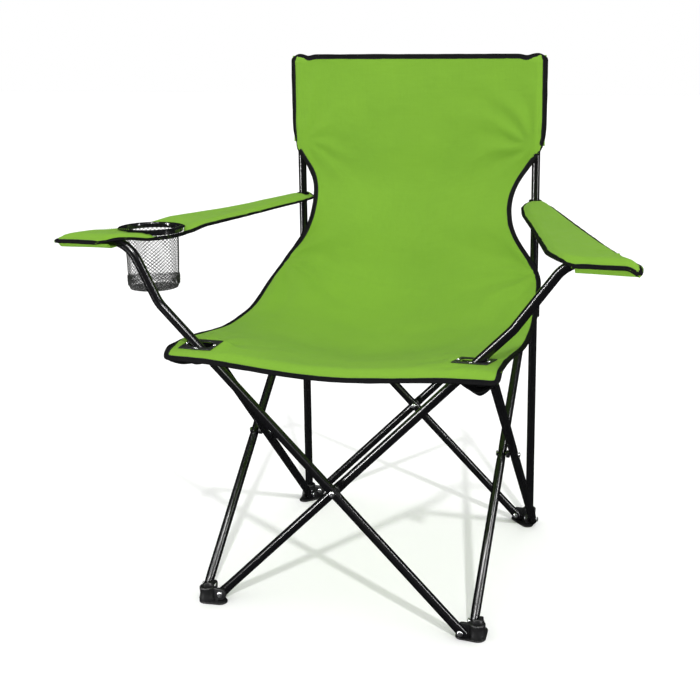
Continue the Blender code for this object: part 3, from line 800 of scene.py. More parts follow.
def borderOf(grid):  # points round the sheet, with the way inward and the normal at each
    rows, columns = grid.shape[:2]
    normal = gridNormals(grid)
    around = [(0, c) for c in range(columns - 1)] + [(r, columns - 1) for r in range(rows - 1)]
    around += [(rows - 1, c) for c in range(columns - 1, 0, -1)] + [(r, 0) for r in range(rows - 1, 0, -1)]
    step = lambda i, last: 2 if i == 0 else last - 2 if i == last else i
    points = np.array([grid[r, c] for r, c in around])
    inward = np.array([grid[step(r, rows - 1), step(c, columns - 1)] - grid[r, c] for r, c in around])
    return points, inward, np.array([normal[r, c] for r, c in around])


def even(points, others, spacing):  # a closed line and what goes with it, at even steps
    closed = np.concatenate([points, points[:1]])
    length = np.concatenate([[0], np.cumsum(np.linalg.norm(np.diff(closed, axis=0), axis=1))])
    count = round(length[-1] / spacing)
    where = np.arange(count) * length[-1] / count
    pick = lambda a: np.stack([np.interp(where, length, np.append(a[:, i], a[0, i])) for i in range(3)], 1)
    return pick(points), [pick(o) for o in others], length[-1]


def soften(line, passes):
    for _ in range(passes):
        line = 0.5 * line + 0.25 * (np.roll(line, 1, 0) + np.roll(line, -1, 0))
    return line


binding = {"width": 0.0090, "thickness": 0.0030, "over": 0.0012, "around": 14, "pucker": 0.0004}
stitching = {"pitch": 0.0036, "length": 0.0028, "thread": 0.0007, "fromEdge": 0.0012}


def bindingOf(name, grid, width=None):
    width = width or binding["width"]
    points, (inward, normal), total = even(*(lambda p, i, n: (p, (i, n)))(*borderOf(grid)), 0.003)
    points, inward, normal = soften(points, 2), soften(inward, 5), soften(normal, 5)
    tangent = np.roll(points, -1, 0) - np.roll(points, 1, 0)
    tangent /= np.linalg.norm(tangent, axis=1, keepdims=True)
    inward -= (inward * tangent).sum(1, keepdims=True) * tangent
    inward /= np.maximum(np.linalg.norm(inward, axis=1, keepdims=True), 1e-9)
    normal = np.cross(tangent, inward)
    rings, flat = [], []
    for i, (p, t, n) in enumerate(zip(points, inward, normal)):
        wobble = noise.noise(Vector(p) * 70) * binding["pucker"]
        centre = p + t * (width / 2 - binding["over"]) + n * wobble
        wide = width / 2 * (1 + 0.10 * noise.noise(Vector(p) * 45))
        ring = []
        for j in range(binding["around"]):
            a = 2 * math.pi * j / binding["around"]
            x, y = math.cos(a), math.sin(a)
            ring.append(centre + t * wide * math.copysign(abs(x) ** 0.7, x)
                        + n * binding["thickness"] / 2 * math.copysign(abs(y) ** 0.6, y))
            flat.append((total * i / len(points), a * 0.003))
        rings.append(ring)
    work = Work()
    work.rings(rings, True, flat=flat)
    made = work.piece(name, tapeFinish, sharp=180)
    lines = []
    for side in (1, -1):
        lines.append(points + inward * (width - binding["over"] - stitching["fromEdge"])
                     + normal * side * (binding["thickness"] / 2 * 0.92))
    stitched = []
    edges = []
    for line in lines:
        start = len(stitched)
        stitched += list(line)
        edges += [(start + i, start + (i + 1) % len(line)) for i in range(len(line))]
    seams = grown(name + "_stitches", stitched, edges, "stitches",
                  {"Pitch": stitching["pitch"], "Length": stitching["length"], "Thread": stitching["thread"],
                   "Material": thread})
    return made, seams


def hookTo(obj, weights):  # each body pulls its share of the cloth as the frame folds
    for body, share in weights:
        group = obj.vertex_groups.new(name=body)
        for i, w in enumerate(share):
            if w > 0.0005:
                group.add([i], float(w), "REPLACE")
        hook = obj.modifiers.new("hook_" + body, "HOOK")
        hook.object = frame["bodies"][body]
        hook.vertex_group = body
        hook.falloff_type = "NONE"
        hook.matrix_inverse = Matrix.Identity(4)


def places(obj):
    spots = np.zeros(len(obj.data.vertices) * 3)
    obj.data.vertices.foreach_get("co", spots)
    return spots.reshape(-1, 3)


def slingWeights(obj):
    p = places(obj)
    x = np.clip((p[:, 0] + span) / (2 * span), 0, 1)
    y = np.clip((p[:, 1] - depthShift + span) / (2 * span), 0, 1)
    up = ease((p[:, 2] - 0.47) / 0.21)  # on the back, from the sliders to the posts
    dip = 0.92 * (1 - (2 * x - 1) ** 2) * (1 - (2 * y - 1) ** 4) * (1 - up)
    dip = np.maximum(dip, up)
    rearRight, rearLeft, frontRight, frontLeft = x * y, (1 - x) * y, x * (1 - y), (1 - x) * (1 - y)
    return [("right_bracket", frontRight * (1 - dip)), ("left_bracket", frontLeft * (1 - dip)),
            ("right_slider", rearRight * (1 - dip)), ("left_slider", rearLeft * (1 - dip)),
            ("front_right_foot", frontRight * dip), ("front_left_foot", frontLeft * dip),
            ("rear_right_post", rearRight * dip)]



sling = {
    "columns": 97, "backRows": 78, "seatRows": 92, "thickness": 0.0016,
    "front": -0.2605, "rear": 0.165, "frontHalf": 0.2535, "sideSwell": 0.007, "pull": -0.0050,
        "rearHalf": 0.2395,
    "height": 0.4155, "hemDrop": 0.0150, "hemReach": 0.024, "sideDip": 0.0125, "rearRise": 0.050,
        "sag": 0.020,
    "top": 0.8455, "cornerRound": 0.011, "sleeveBottom": 0.690, "faceInset": 0.0086, "bow": 0.016,
        "sleeveRadius": 0.0086,
    "backEdge": [(0.4655, 0.2430), (0.482, 0.2345), (0.497, 0.2220), (0.511, 0.2100), (0.527, 0.1985),
        (0.553, 0.1865),
                 (0.584, 0.1825), (0.610, 0.1850), (0.630, 0.1925), (0.645, 0.2020), (0.660, 0.2125),
                     (0.673, 0.2215),
                 (0.690, 0.2285), (0.705, 0.2320), (0.720, 0.2335), (0.848, 0.2335)],
    "folds": [  # at x, s from the top; reach, count, height, phase
        (-0.235, 0.40, 0.16, 9, 0.0030, 0.4), (0.235, 0.40, 0.16, 8, 0.0030, 1.9),
        (-0.21, 0.16, 0.11, 9, 0.0015, 0.0), (0.21, 0.16, 0.12, 9, 0.0024, 0.9),
        (-0.215, 0.80, 0.13, 8, 0.0018, 2.0), (0.215, 0.80, 0.13, 8, 0.0018, 0.6),
    ],
}


def sideHeight(y):
    s = sling
    hem = s["hemDrop"] * (1 - ease((y - s["front"]) / s["hemReach"])) ** 1.5
    dip = s["sideDip"] * np.sin(math.pi * ease((y + 0.20) / 0.30))
    rise = s["rearRise"] * ease((y - 0.02) / (s["rear"] - 0.02)) ** 1.3
    return s["height"] - hem - dip + rise


def seatPoints(u, v):  # v from the front hem to the rear
    s = sling
    y = s["front"] + (s["rear"] - s["front"]) * v
    half = s["frontHalf"] + (s["rearHalf"] - s["frontHalf"]) * v + s["sideSwell"] * np.sin(math.pi * v ** 1.5)
    across = np.cos(math.pi / 2 * np.minimum(1, np.abs(u) / 0.9)) ** 2
    sag = s["sag"] * (0.65 + 0.6 * np.sin(math.pi * v)) + 0.028 * ease((v - 0.7) / 0.3)
    return np.stack([u * half, y, sideHeight(y) - sag * across], -1)


def backPoints(u, v):  # v from the top edge down to the seat
    s = sling
    seam = seatPoints(u, np.ones_like(u))[..., 2]
    seamSide = float(seatPoints(np.array(1.0), np.array(1.0))[2])
    level = s["top"] - (s["top"] - seamSide) * v
    x = u * drawn(s["backEdge"], level) + s["pull"] * np.exp(-((level - 0.575) / 0.055) ** 2)
    z = s["top"] + (seam - s["top"]) * v
    face = corner - s["faceInset"]
    lean = ease((level - seamSide) / (s["sleeveBottom"] - 0.02 - seamSide))
    y = s["rear"] + 0.0015 + (face - s["rear"] - 0.0015) * lean + s["bow"] * lean * (1 - np.minimum(1,
        (x / corner) ** 2))
    wrap = np.sqrt(np.maximum(0, s["sleeveRadius"] ** 2 - np.maximum(0, np.abs(x) - corner) ** 2))
    onSleeve = ease((level - s["sleeveBottom"] + 0.03) / 0.03)
    y = y + (s["faceInset"] - wrap) * onSleeve * (np.abs(x) > corner)
    shut = ease((level - (s["top"] - 0.010)) / 0.010) * ease((np.abs(x) - (corner - 0.020)) / 0.014)
    y = y + (corner - y) * shut
    nearPost = np.exp(-((np.abs(x) - corner) / 0.007) ** 2)
    dip = 0.0030 * np.exp(-((np.abs(x) - (corner - 0.018)) / 0.007) ** 2)
    beyond = 0.006 * ease((np.abs(x) - corner - 0.004) / 0.012)
    z = z + (0.0012 * nearPost - dip - beyond) * ease((level - (s["top"] - 0.02)) / 0.02)
    return np.stack([x, y, z], -1)


def foldHeight(x, s, folds, seed):
    total = np.zeros_like(x)
    for i in np.ndindex(x.shape):
        here = Vector((x[i] * 9 + seed, s[i] * 9, 0.3))
        swell = 0.0020 * noise.noise(here * 0.8) + 0.0009 * noise.noise(here * 2.6)
        for cx, cs, reach, count, height, phase in folds:
            dx, ds = x[i] - cx, s[i] - cs
            r = math.hypot(dx, ds)
            if r < 2.2 * reach:
                angle = math.atan2(ds, dx) + 0.35 * noise.noise(here * 1.3)
                ridge = math.sin(count * angle + phase)
                sharp = math.copysign(abs(ridge) ** 1.3, ridge)
                swell += height * sharp * math.exp(-(r / reach) ** 2) * min(1, r / 0.04)
        total[i] = swell
    return total


def slingGrid():
    s = sling
    u = np.linspace(-1, 1, s["columns"])
    u = u * (1 + 0.10 * (1 - u * u))
    back = np.array([backPoints(u, np.full_like(u, v)) for v in np.linspace(0, 1, s["backRows"])])
    seatRows = 1 - np.linspace(0, 1, s["seatRows"]) ** 0.93
    seat = np.array([seatPoints(u, np.full_like(u, v)) for v in seatRows])
    grid = np.concatenate([back, seat[1:]])
    bend = s["backRows"] - 1
    rows = np.arange(len(grid))
    soft = np.exp(-((rows - bend) / 13.0) ** 2)[:, None, None] * (1 - 0.75 * np.abs(u) ** 6)[None, :, None]
    for _ in range(90):  # rounds the turn from back to seat
        mean = (np.roll(grid, 1, 0) + np.roll(grid, -1, 0)) / 2
        grid[1:-1] += (0.8 * soft * (mean - grid))[1:-1]
    return grid


grid = slingGrid()
along_ = flatSizes(grid)
normal = gridNormals(grid)
if normal[-30, 48, 2] < 0:
    normal = -normal
height = foldHeight(grid[..., 0], along_[..., 1], sling["folds"], 3.1)
rim = np.minimum(1, (1 - np.abs(np.linspace(-1, 1, sling["columns"])))[None, :] * 14)
rim = rim * np.minimum(1, np.arange(len(grid))[::-1] / 5)[:, None] * np.minimum(1,
    np.arange(len(grid)) / 4)[:, None]
grid = grid + normal * (height * rim)[..., None]

plate = {"length": 0.052, "width": 0.028, "thickness": 0.0016, "slant": 0.0045, "shift": 0.0063,
    "edge": 0.0004,
         "rise": 0.0178, "tilt": {"left": 17.0, "right": 2.0}}
plateMiddle = span + plate["rise"] / math.tan(slope) - plate["shift"]
slotHalf = steel["tube"] + 0.0012
slotOuter = plate["rise"] / math.tan(slope) + steel["tube"] / math.sin(slope) - steel["tube"]
lines = {"left": -corner - steel["layer"], "right": -corner + steel["layer"]}
for side, name in ((-1, "left"), (1, "right")):  # the cloth lies flat under each plate
    ax = np.maximum(0, np.abs(grid[..., 0] - side * plateMiddle) - plate["length"] / 2 - plate["slant"] - 0.002)
    ay = np.maximum(0, np.abs(grid[..., 1] - lines[name]) - plate["width"] / 2 - 0.002)
    under = 1 - ease(np.hypot(ax, ay) / 0.016)
    lie = topPivot + plate["rise"] + math.tan(math.radians(plate["tilt"][name])) * (grid[...,
        1] - lines[name])
    lie = lie - plate["thickness"] / 2 - sling["thickness"] / 2 - 0.0003
    grid[..., 2] = np.where(grid[..., 2] < 0.46, grid[..., 2] * (1 - under) + lie * under, grid[..., 2])
for column in (0, sling["columns"] - 1):
    roundCorner(grid, len(grid) - 1, column, sling["cornerRound"])
grid[..., 1] += depthShift
middle = (grid[:-1, :-1] + grid[1:, 1:]) / 2
keep = np.ones(middle.shape[:2], bool)
for side, name in ((-1, "left"), (1, "right")):
    px = np.clip(middle[..., 0] * side, span, span + slotOuter)
    away = np.hypot(middle[..., 0] * side - px, middle[..., 1] - depthShift - lines[name])
    keep &= ~((away < slotHalf + 0.0012) & (middle[..., 2] < 0.46))
work = Work()
addCloth(work, grid, sling["thickness"], keep)
slingPiece = work.piece("sling", cloth, sharp=180)
slingTape, slingSeams = bindingOf("sling_binding", grid)
seam = sling["backRows"] - 1
edges = [(i, i + 1) for i in range(grid.shape[1] - 1)]
joinSeams = grown("sling_back_seam", grid[seam] + normal[seam] * 0.0009, edges, "stitches",
                  {"Pitch": 0.0036, "Length": 0.0026, "Thread": 0.0006, "Material": cloth})
for piece in (slingPiece, slingTape, slingSeams, joinSeams):
    settled(piece, "rear_left_post", slot="sling_fabric")
    hookTo(piece, slingWeights(piece))
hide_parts("seat_panel", "back_panel")
print("camp chair: sling sewn,", len(slingPiece.data.polygons), "faces")

# Rear layers of the sleeves that take the posts
sleeve = {"inward": 0.030, "bottom": 0.690, "radius": 0.0088, "thickness": 0.0014}
for side, name in ((-1, "left"), (1, "right")):
    rows, columns = 34, 26
    z = np.linspace(sling["top"] - 0.0015, sleeve["bottom"], rows)[:, None] * np.ones((1, columns))
    x = np.linspace(corner - sleeve["inward"], 0.2318, columns)[None, :] * np.ones((rows, 1))
    r = sleeve["radius"]
    bulge = np.sqrt(np.maximum(0, r * r - (x - corner) ** 2))
    inner = np.clip((x - (corner - sleeve["inward"])) / (sleeve["inward"] - r), 0, 1)
    panel = corner - sling["faceInset"] + sling["bow"] * (1 - (np.minimum(x, corner) / corner) ** 2) + 0.0022
    y = np.where(x < corner, panel + (corner + r - panel) * ease(inner ** 0.9), corner + bulge)
    y = y + (corner + 0.001 - y) * ease((z - (sling["top"] - 0.010)) / 0.010) * ease((x - corner + 0.020) / 0.014)
    back = np.stack([side * x, y + depthShift, z], -1)
    if side < 0:
        back = back[:, ::-1]
    work = Work()
    addCloth(work, back, sleeve["thickness"])
    piece = work.piece(name + "_sleeve", cloth, sharp=180)
    column = 1 if side > 0 else columns - 2
    line = [back[i, column] + np.array([0, 0.0009, 0]) for i in range(rows)]
    row = grown(name + "_sleeve_stitches", line, [(i, i + 1) for i in range(rows - 1)], "stitches",
                {"Pitch": 0.0036, "Length": 0.0028, "Thread": 0.0007, "Material": cloth})
    for obj in (piece, row):
        settled(obj, "rear_right_post" if side > 0 else "rear_left_post", slot="sling_fabric")
    sling.setdefault("with", []).extend([piece, row])

# Seat plates
for side, name in ((-1, "left"), (1, "right")):
    centre = plateMiddle
    halfX, halfY, slant = plate["length"] / 2, plate["width"] / 2, plate["slant"]
    shape = [(-halfX - slant, -halfY), (halfX - slant, -halfY), (halfX + slant, halfY),
        (-halfX + slant, halfY)]
    hole = arc((span + slotOuter - centre, 0), slotHalf, -math.pi / 2, math.pi / 2, 14)
    hole += arc((span - centre, 0), slotHalf, math.pi / 2, 1.5 * math.pi, 14)
    curve = bpy.data.curves.new("plate", "CURVE")
    curve.dimensions = "2D"
    curve.fill_mode = "BOTH"
    curve.extrude = plate["thickness"] / 2 - plate["edge"]
    curve.bevel_depth = plate["edge"]
    curve.bevel_resolution = 2
    curve.offset = -plate["edge"]
    for loop in (shape, [(side * x, y) for x, y in hole]):
        spline = curve.splines.new("POLY")
        spline.points.add(len(loop) - 1)
        spline.use_cyclic_u = True
        for point, (x, y) in zip(spline.points, loop):
            point.co = (x, y, 0, 1)
    flatPlate = bpy.data.objects.new("plate", curve)
    scene.collection.objects.link(flatPlate)
    graph = bpy.context.evaluated_depsgraph_get()
    graph.update()
    mesh = bpy.data.meshes.new_from_object(flatPlate.evaluated_get(graph))
    bm = bmesh.new()
    bm.from_mesh(mesh)
    bmesh.ops.remove_doubles(bm, verts=bm.verts, dist=1e-6)
    bm.to_mesh(mesh)
    bm.free()
    place = Matrix.Translation(at(side * centre, lines[name], topPivot + plate["rise"]))
    place = place @ Matrix.Rotation(math.radians(plate["tilt"][name]), 4, "X")
    work = Work()
    work.add([place @ v.co for v in mesh.vertices], [tuple(p.vertices) for p in mesh.polygons])
    bpy.data.objects.remove(flatPlate, do_unlink=True)
    settled(work.piece(name + "_seat_plate", plasticFinish, sharp=30), topBody["front_" + name],
        "seat_plate_" + name,
            slot="seat_plates")
    spots = [(side * (-halfX + 0.0033), 0), (side * (halfX - 0.0045), 0), (-slant / 2, -halfY + 0.0023)]
    points = [place @ Vector((x, y, z)) for x, y in spots for z in (plate["thickness"] / 2, -0.0026)]
    facing = [(0, 0, 1), (0, 0, -1)] * len(spots)
    small = grown(name + "_plate_rivets", points, [(2 * i, 2 * i + 1) for i in range(len(spots))], "rivets",
                  {"Shank": 0.0010, "Head": head, "Material": zinc}, facing)
    shrink = places(small)
    ends = np.array([tuple(p) for p in points])
    near = np.argmin(((shrink[:, None] - ends[None]) ** 2).sum(2), axis=1)
    shrink = ends[near] + (shrink - ends[near]) * 0.55
    small.data.vertices.foreach_set("co", shrink.ravel())
    settled(small, topBody["front_" + name], slot="rivets")

# Pockets under the seat's front corners, which hold the brackets
pocket = {"across": 0.050, "deep": {"left": 0.010, "right": 0.027}, "long": 0.070, "thickness": 0.0016}
for side, name in ((-1, "left"), (1, "right")):
    rows, columns = 22, 26
    a = np.linspace(-1, 1, columns)[None, :] * np.ones((rows, 1))
    b = np.linspace(0, 1, rows)[:, None] * np.ones((1, columns))
    x = 0.2445 - pocket["across"] * (a + 1) / 2
    y = -0.2575 + pocket["long"] * b
    belly = (1 - np.abs(a + 0.12) ** 1.5).clip(0) * np.sin(math.pi * np.clip(b * 0.9 + 0.12, 0, 1)) ** 0.8
    z = 0.3995 + 0.0135 * b - pocket["deep"][name] * belly * (1 - 0.9 * np.maximum(0,
        np.abs(a) - 0.85) / 0.15)
    bag = np.stack([side * x, y + depthShift, z], -1)
    work = Work()
    addCloth(work, bag, pocket["thickness"])
    piece = work.piece(name + "_corner_pocket", tapeFinish, sharp=180)
    settled(piece, topBody["front_" + name], slot="sling_fabric")
    sling["with"].append(piece)


armrest = {
    "rear": 0.2345, "front": -0.2600, "rearHeight": 0.594, "frontHeight": 0.5785, "thickness": 0.0024,
        "roll": 0.0085,
    "rollReach": 0.020, "rows": 108, "columns": 42, "postHole": 0.0080, "frontDrop": 0.0105,
        "frontReach": 0.020,
    "innerLeft": [(-0.259, 0.356), (-0.250, 0.334), (-0.232, 0.312), (-0.208, 0.2985), (-0.182, 0.2775),
                  (-0.161, 0.2690), (-0.138, 0.2690), (-0.045, 0.2475), (0.098, 0.2190), (0.187, 0.2000),
                      (0.235, 0.1985)],
    "innerRight": [(-0.259, 0.349), (-0.250, 0.334), (-0.236, 0.321), (-0.189, 0.3010), (-0.114, 0.2800),
                   (0.002, 0.2470), (0.110, 0.2145), (0.187, 0.1985), (0.235, 0.1975)],
    "tipShift": {-1: -0.009, 1: 0.003},
    "outer": [(-0.259, 0.4310), (-0.252, 0.4365), (-0.244, 0.4330), (-0.212, 0.4110), (-0.129, 0.3780),
              (0.043, 0.3110), (0.207, 0.2480), (0.222, 0.2400), (0.235, 0.2300)],
    "pocket": {"left": (0.336, 0.5605), "right": (0.350, 0.5580)},  # inner end, height under the tube
}
cup = {"x": 0.322, "y": -0.152, "hole": 0.0490, "drop": 0.0055}


def armHeight(y):
    fall = (armrest["rearHeight"] - armrest["frontHeight"]) / (corner + 0.262)
    return armrest["rearHeight"] - (corner - y) * fall


def armGrid(side):
    a = armrest
    t = np.linspace(0, 1, a["rows"])
    y = a["rear"] + (a["front"] - a["rear"]) * t
    inner = drawn(a["innerLeft" if side < 0 else "innerRight"], y, 0.004)
    outer = drawn(a["outer"], y, 0.003) + a["tipShift"][side] * ease((-0.10 - y) / 0.12)
    s = np.linspace(0, 1, a["columns"])
    x = inner[:, None] + (outer - inner)[:, None] * s[None, :]
    y = y[:, None] * np.ones_like(x)
    edge = np.minimum(x - inner[:, None], outer[:, None] - x)
    rolled = a["roll"] * (1 - ease(edge / a["rollReach"])) ** 1.4
    front = a["frontDrop"] * (1 - ease((y - a["front"]) / a["frontReach"])) ** 1.3
    # only the right one's outer corner droops twice
    both = np.minimum(rolled, front) * s[None, :] * (side > 0)
    z = armHeight(y) - np.maximum(rolled, front) - both
    z -= 0.0045 * np.sin(math.pi * np.clip((corner - 0.02 - y) / 0.36, 0, 1)) * np.sin(math.pi * s)[None, :]
    z += 0.0030 * np.exp(-((x - 0.318) / 0.020) ** 2 - ((y + 0.240) / 0.030) ** 2)
    if side < 0:
        z -= (cup["drop"] - 0.001) * (1 - ease((np.hypot(x - cup["x"], y - cup["y"]) - 0.052) / 0.040))
    for i in np.ndindex(x.shape):
        here = Vector((x[i] * 14 + side * 5, y[i] * 9, 1.7))
        z[i] += 0.0012 * noise.noise(here) * min(1, edge[i] / 0.02) + 0.0005 * noise.noise(here * 3) * min(1,
            edge[i] / 0.02)
    made = np.stack([side * x, y + depthShift, z], -1)
    return made if side < 0 else made[:, ::-1]


def armWeights(side):
    def weights(obj):
        p = places(obj)
        y = p[:, 1] - depthShift
        front = ease((0.12 - y) / 0.30)
        if side > 0:
            return [("front_inner", front), ("rear_right_post", 1 - front)]
        ring = ease(1 - (np.hypot(p[:, 0] + cup["x"], y - cup["y"]) - cup["hole"]) / 0.035)
        return [("front_outer", front * (1 - ring)), ("cup_holder", ring)]
    return weights


for side, name in ((-1, "left"), (1, "right")):
    body = "front_outer" if side < 0 else "front_inner"
    base = "rear_left_post"
    top = armGrid(side)
    keep = np.ones((top.shape[0] - 1, top.shape[1] - 1), bool)
    tape, seams = bindingOf(f"{name}_armrest_binding", top, 0.0080)
    cutHole(top, keep, np.array([side * corner, corner + depthShift]), armrest["postHole"])
    if side < 0:
        cutHole(top, keep, np.array([-cup["x"], cup["y"] + depthShift]), cup["hole"])
    work = Work()
    addCloth(work, top, armrest["thickness"], keep)
    sheetPiece = work.piece(f"{name}_armrest", cloth, sharp=180)

    # The pocket's under layer, from the front edge back past the tube
    rows, columns = 26, 30
    t = np.linspace(0, 1, rows)[:, None] * np.ones((1, columns))
    y = -0.2565 + 0.0625 * t
    outer = drawn(armrest["outer"], y, 0.003) - 0.005 + armrest["tipShift"][side]
    start, low = armrest["pocket"][name]
    x = start + (outer - start) * np.linspace(0, 1, columns)[None, :]
    lid = armHeight(y) - 0.0030 - armrest["frontDrop"] * (1 - ease((y - armrest["front"]) / armrest["frontReach"])) ** 1.3
    low = low + 0.0006 * np.sin(40 * x)
    hang = ease(t / 0.16) * (1 - ease((t - 0.62) / 0.38))
    z = lid + (low - lid) * hang
    under = np.stack([side * x, y + depthShift, z], -1)
    work = Work()
    addCloth(work, under if side < 0 else under[:, ::-1], 0.0012)
    flap = work.piece(f"{name}_armrest_pocket", cloth, sharp=180)
    line = [Vector(under[-2, c]) + Vector((0, 0, 0.0044)) for c in range(columns)]
    pocketSeam = grown(f"{name}_armrest_pocket_stitches", line, [(i, i + 1) for i in range(columns - 1)],
        "stitches",
                       {"Pitch": 0.0036, "Length": 0.0028, "Thread": 0.0007, "Material": cloth})

    # Bound eyelet round the post
    work = Work()
    h = armHeight(corner)
    eye = Matrix.Translation(at(side * corner, corner, h))
    work.lathe([(0.0074, 0.0), (0.0077, 0.0017), (0.0095, 0.0021), (0.0112, 0.0014), (0.0112, -0.0014),
                (0.0095, -0.0021), (0.0077, -0.0017)], eye, 48, True)
    eyelet = work.piece(f"{name}_armrest_eyelet", tapeFinish)
    for piece in (sheetPiece, tape, seams, flap, pocketSeam, eyelet):
        settled(piece, base, slot="sling_fabric")
        hookTo(piece, armWeights(side)(piece))
    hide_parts("armrest_" + name)
print("camp chair: armrests sewn")


ring = {"outer": 0.0512, "inner": 0.0420, "body": 0.0478}
ringHeight = armHeight(cup["y"]) - cup["drop"]
level = Matrix.Translation(at(-cup["x"], cup["y"], ringHeight))
work = Work()
r = ring
work.lathe([(r["inner"], 0.0026), (r["inner"] + 0.0007, 0.0038), (r["inner"] + 0.0022, 0.0044),
    (r["outer"] - 0.0030, 0.0042),
            (r["outer"] - 0.0008, 0.0036), (r["outer"], 0.0028), (r["outer"] - 0.0006, 0.0022),
                (r["body"], 0.0020),
            (r["body"], -0.0034), (r["body"] - 0.0010, -0.0042), (r["inner"] + 0.0008, -0.0042),
            (r["inner"], -0.0034)], level, 112, True)
settled(work.piece("cup_holder_ring", glossPlastic, sharp=50), "cup_holder", "cup_ring", slot="cup_ring")

net = {"top": 0.0410, "bottom": 0.0383, "depth": 0.0925, "strands": 38, "steps": 36, "lean": 40.0,
    "strand": 0.00068}


def netSpot(angle, z, out=0.0):
    share = -z / net["depth"]
    radius = net["top"] + (net["bottom"] - net["top"]) * share + out
    radius += 0.0007 * noise.noise(Vector((math.cos(angle) * 2, math.sin(angle) * 2, z * 30)))
    curl = ease((share - 0.93) / 0.07)
    radius *= 1 - 0.06 * float(curl) ** 2
    return level @ Vector((radius * math.cos(angle), radius * math.sin(angle), z))


points, edges = [], []
turn = net["depth"] / math.tan(math.radians(net["lean"])) / net["top"]
for way in (-1, 1):  # two sets of strands wind down against each other
    for i in range(net["strands"]):
        start = len(points)
        for j in range(net["steps"] + 1):
            share = j / net["steps"]
            angle = 2 * math.pi * i / net["strands"] + way * turn * share
            points.append(netSpot(angle, -0.002 - (net["depth"] - 0.002) * share))
        edges += [(start + j, start + j + 1) for j in range(net["steps"])]
count = 96
rim = len(points)
points += [netSpot(2 * math.pi * i / count, -net["depth"], -0.0012) for i in range(count)]
edges += [(rim + i, rim + (i + 1) % count) for i in range(count)]
for turn in (0, 1):  # floor: two crossing sets of strands
    for i in range(-10, 11):
        off = i * 0.0036
        half = math.sqrt(max(0, 0.0368 ** 2 - off * off))
        if half > 0.004:
            start = len(points)
            for j in range(9):
                d = -half + 2 * half * j / 8
                x, y = (d, off) if turn else (off, d)
                points.append(level @ Vector((x, y,
                    -net["depth"] - 0.0006 * math.cos(x * 60) * math.cos(y * 60))))
            edges += [(start + j, start + j + 1) for j in range(8)]
basket = grown("cup_net", points, edges, "net", {"Strand": net["strand"], "Material": netFinish})

points, edges = [], []
for layer in range(10):  # gathered hem, where the net is doubled
    start = len(points)
    for i in range(150):
        angle = 2 * math.pi * i / 150
        z = -0.0765 - 0.0012 * layer + 0.0022 * math.sin(i * 1.9 + layer * 2.3) + 0.0024 * math.sin(angle * 2 + 0.6)
        points.append(netSpot(angle, z, 0.0009 + 0.0006 * math.sin(i * 2.7 + layer)))
    edges += [(start + i, start + (i + 1) % 150) for i in range(150)]
hem = grown("cup_net_hem", points, edges, "net", {"Strand": 0.0008, "Material": netFinish})
for piece in (basket, hem):
    settled(piece, "cup_holder", slot="cup_mesh")
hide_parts("cup_mesh")
bpy.data.objects.remove(head, do_unlink=True)
print("camp chair: cup holder hung")


studio = {"floor": (0.95, 0.95, 0.95), "skyDiffuse": 1.06, "skyGloss": 0.015, "sun": 1.5, "sunAngle": 2.2,
          "sunFrom": (0.34, -0.66, 0.67), "strip": 90.0, "fill": 40.0}
mesh = bpy.data.meshes.new("floor")
mesh.from_pydata([(-30, -30, 0), (30, -30, 0), (30, 30, 0), (-30, 30, 0)], [], [(0, 1, 2, 3)])
mesh.materials.append(finishOf(
    "studio_floor",
    lambda tree: tree.blend(tree.noise(spot(tree), 1.5), tuple(0.985 * c for c in studio["floor"]),
        studio["floor"]),
    lambda tree: 0.6 + tree.noise(spot(tree), 3.0) * 0.1, Specular_IOR_Level=0.1))
floor = bpy.data.objects.new("floor", mesh)
scene.collection.objects.link(floor)
floor.visible_glossy = False  # keeps the black steel black

world = bpy.data.worlds.new("studio")
scene.world = world
world.use_nodes = True
tree = Tree(world.node_tree)
back = tree.nodes["Background"]
path = tree.add("ShaderNodeLightPath", None, None, None)
glossy, camera = Wire(tree, path.outputs["Is Glossy Ray"]), Wire(tree, path.outputs["Is Camera Ray"])
strength = camera * 1.0 + (1 - camera) * (glossy * studio["skyGloss"] + (1 - glossy) * studio["skyDiffuse"])
tree.links.new(strength.socket, back.inputs["Strength"])
back.inputs["Color"].default_value = (1, 1, 1, 1)


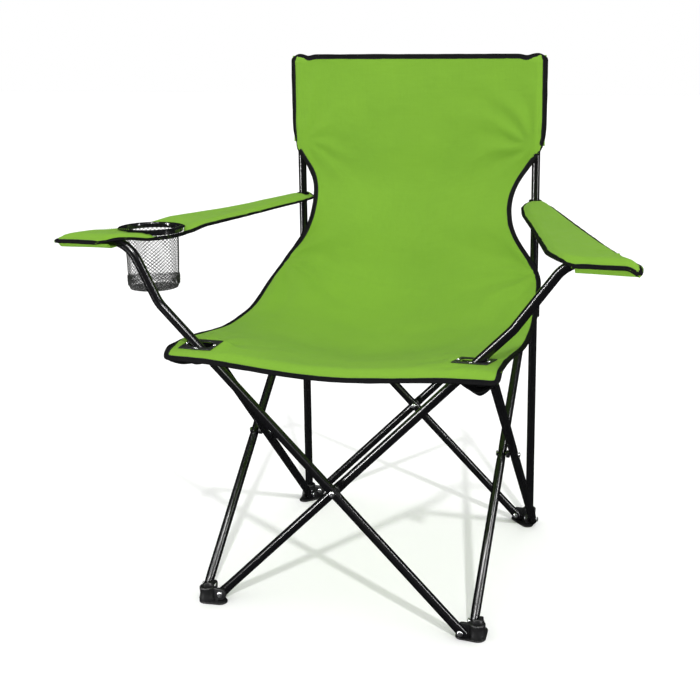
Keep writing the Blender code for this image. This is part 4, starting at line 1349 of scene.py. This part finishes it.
def lamp(name, kind, place, target, energy, **more):
    light = bpy.data.lights.new(name, kind)
    light.energy = energy
    for key, value in more.items():
        setattr(light, key, value)
    obj = bpy.data.objects.new(name, light)
    obj.location = place
    obj.rotation_euler = (Vector(target) - Vector(place)).to_track_quat("-Z", "Y").to_euler()
    scene.collection.objects.link(obj)
    obj.visible_diffuse = kind == "SUN"


aimAt = Vector((0, 0, 0.4))
frameShadows = bpy.data.collections.new("frame_shadows")  # only the frame throws the key light's shadows
for obj in scene.objects:
    if obj.type == "MESH" and obj.name.endswith(("_tube", "_post", "_foot", "_slider", "_bracket", "_cap")):
        frameShadows.objects.link(obj)
lamp("key", "SUN", aimAt + Vector(studio["sunFrom"]) * 3, aimAt, studio["sun"],
    angle=math.radians(studio["sunAngle"]))
scene.objects["key"].light_linking.blocker_collection = frameShadows
lamp("strip_left", "AREA", (-1.7, -1.6, 1.1), aimAt, studio["strip"], shape="RECTANGLE", size=0.12,
    size_y=2.2)
lamp("strip_right", "AREA", (2.2, -0.4, 1.2), aimAt, studio["fill"], shape="RECTANGLE", size=0.14, size_y=2.0)
lamp("strip_top", "AREA", (0.2, -1.2, 2.4), aimAt, studio["fill"], shape="RECTANGLE", size=1.8, size_y=0.16)

view = {"centre": (0.0776, 0.0, 0.5051), "azimuth": 15.46, "elevation": 10.65, "distance": 1.7222,
    "lens": 55.16,
        "shift": (-0.1074, -0.1156)}
az, el = math.radians(view["azimuth"]), math.radians(view["elevation"])
centre = at(*view["centre"])
data = bpy.data.cameras.new("camera")
data.lens = view["lens"]
data.sensor_width = 36
data.shift_x, data.shift_y = view["shift"]
cameraObj = bpy.data.objects.new("camera", data)
cameraObj.location = centre + Vector((math.sin(az) * math.cos(el), -math.cos(az) * math.cos(el),
    math.sin(el))) * view["distance"]
cameraObj.rotation_euler = (centre - cameraObj.location).to_track_quat("-Z", "Y").to_euler()
scene.collection.objects.link(cameraObj)
scene.camera = cameraObj
scene.view_settings.view_transform = "Standard"

print("camp chair: done")
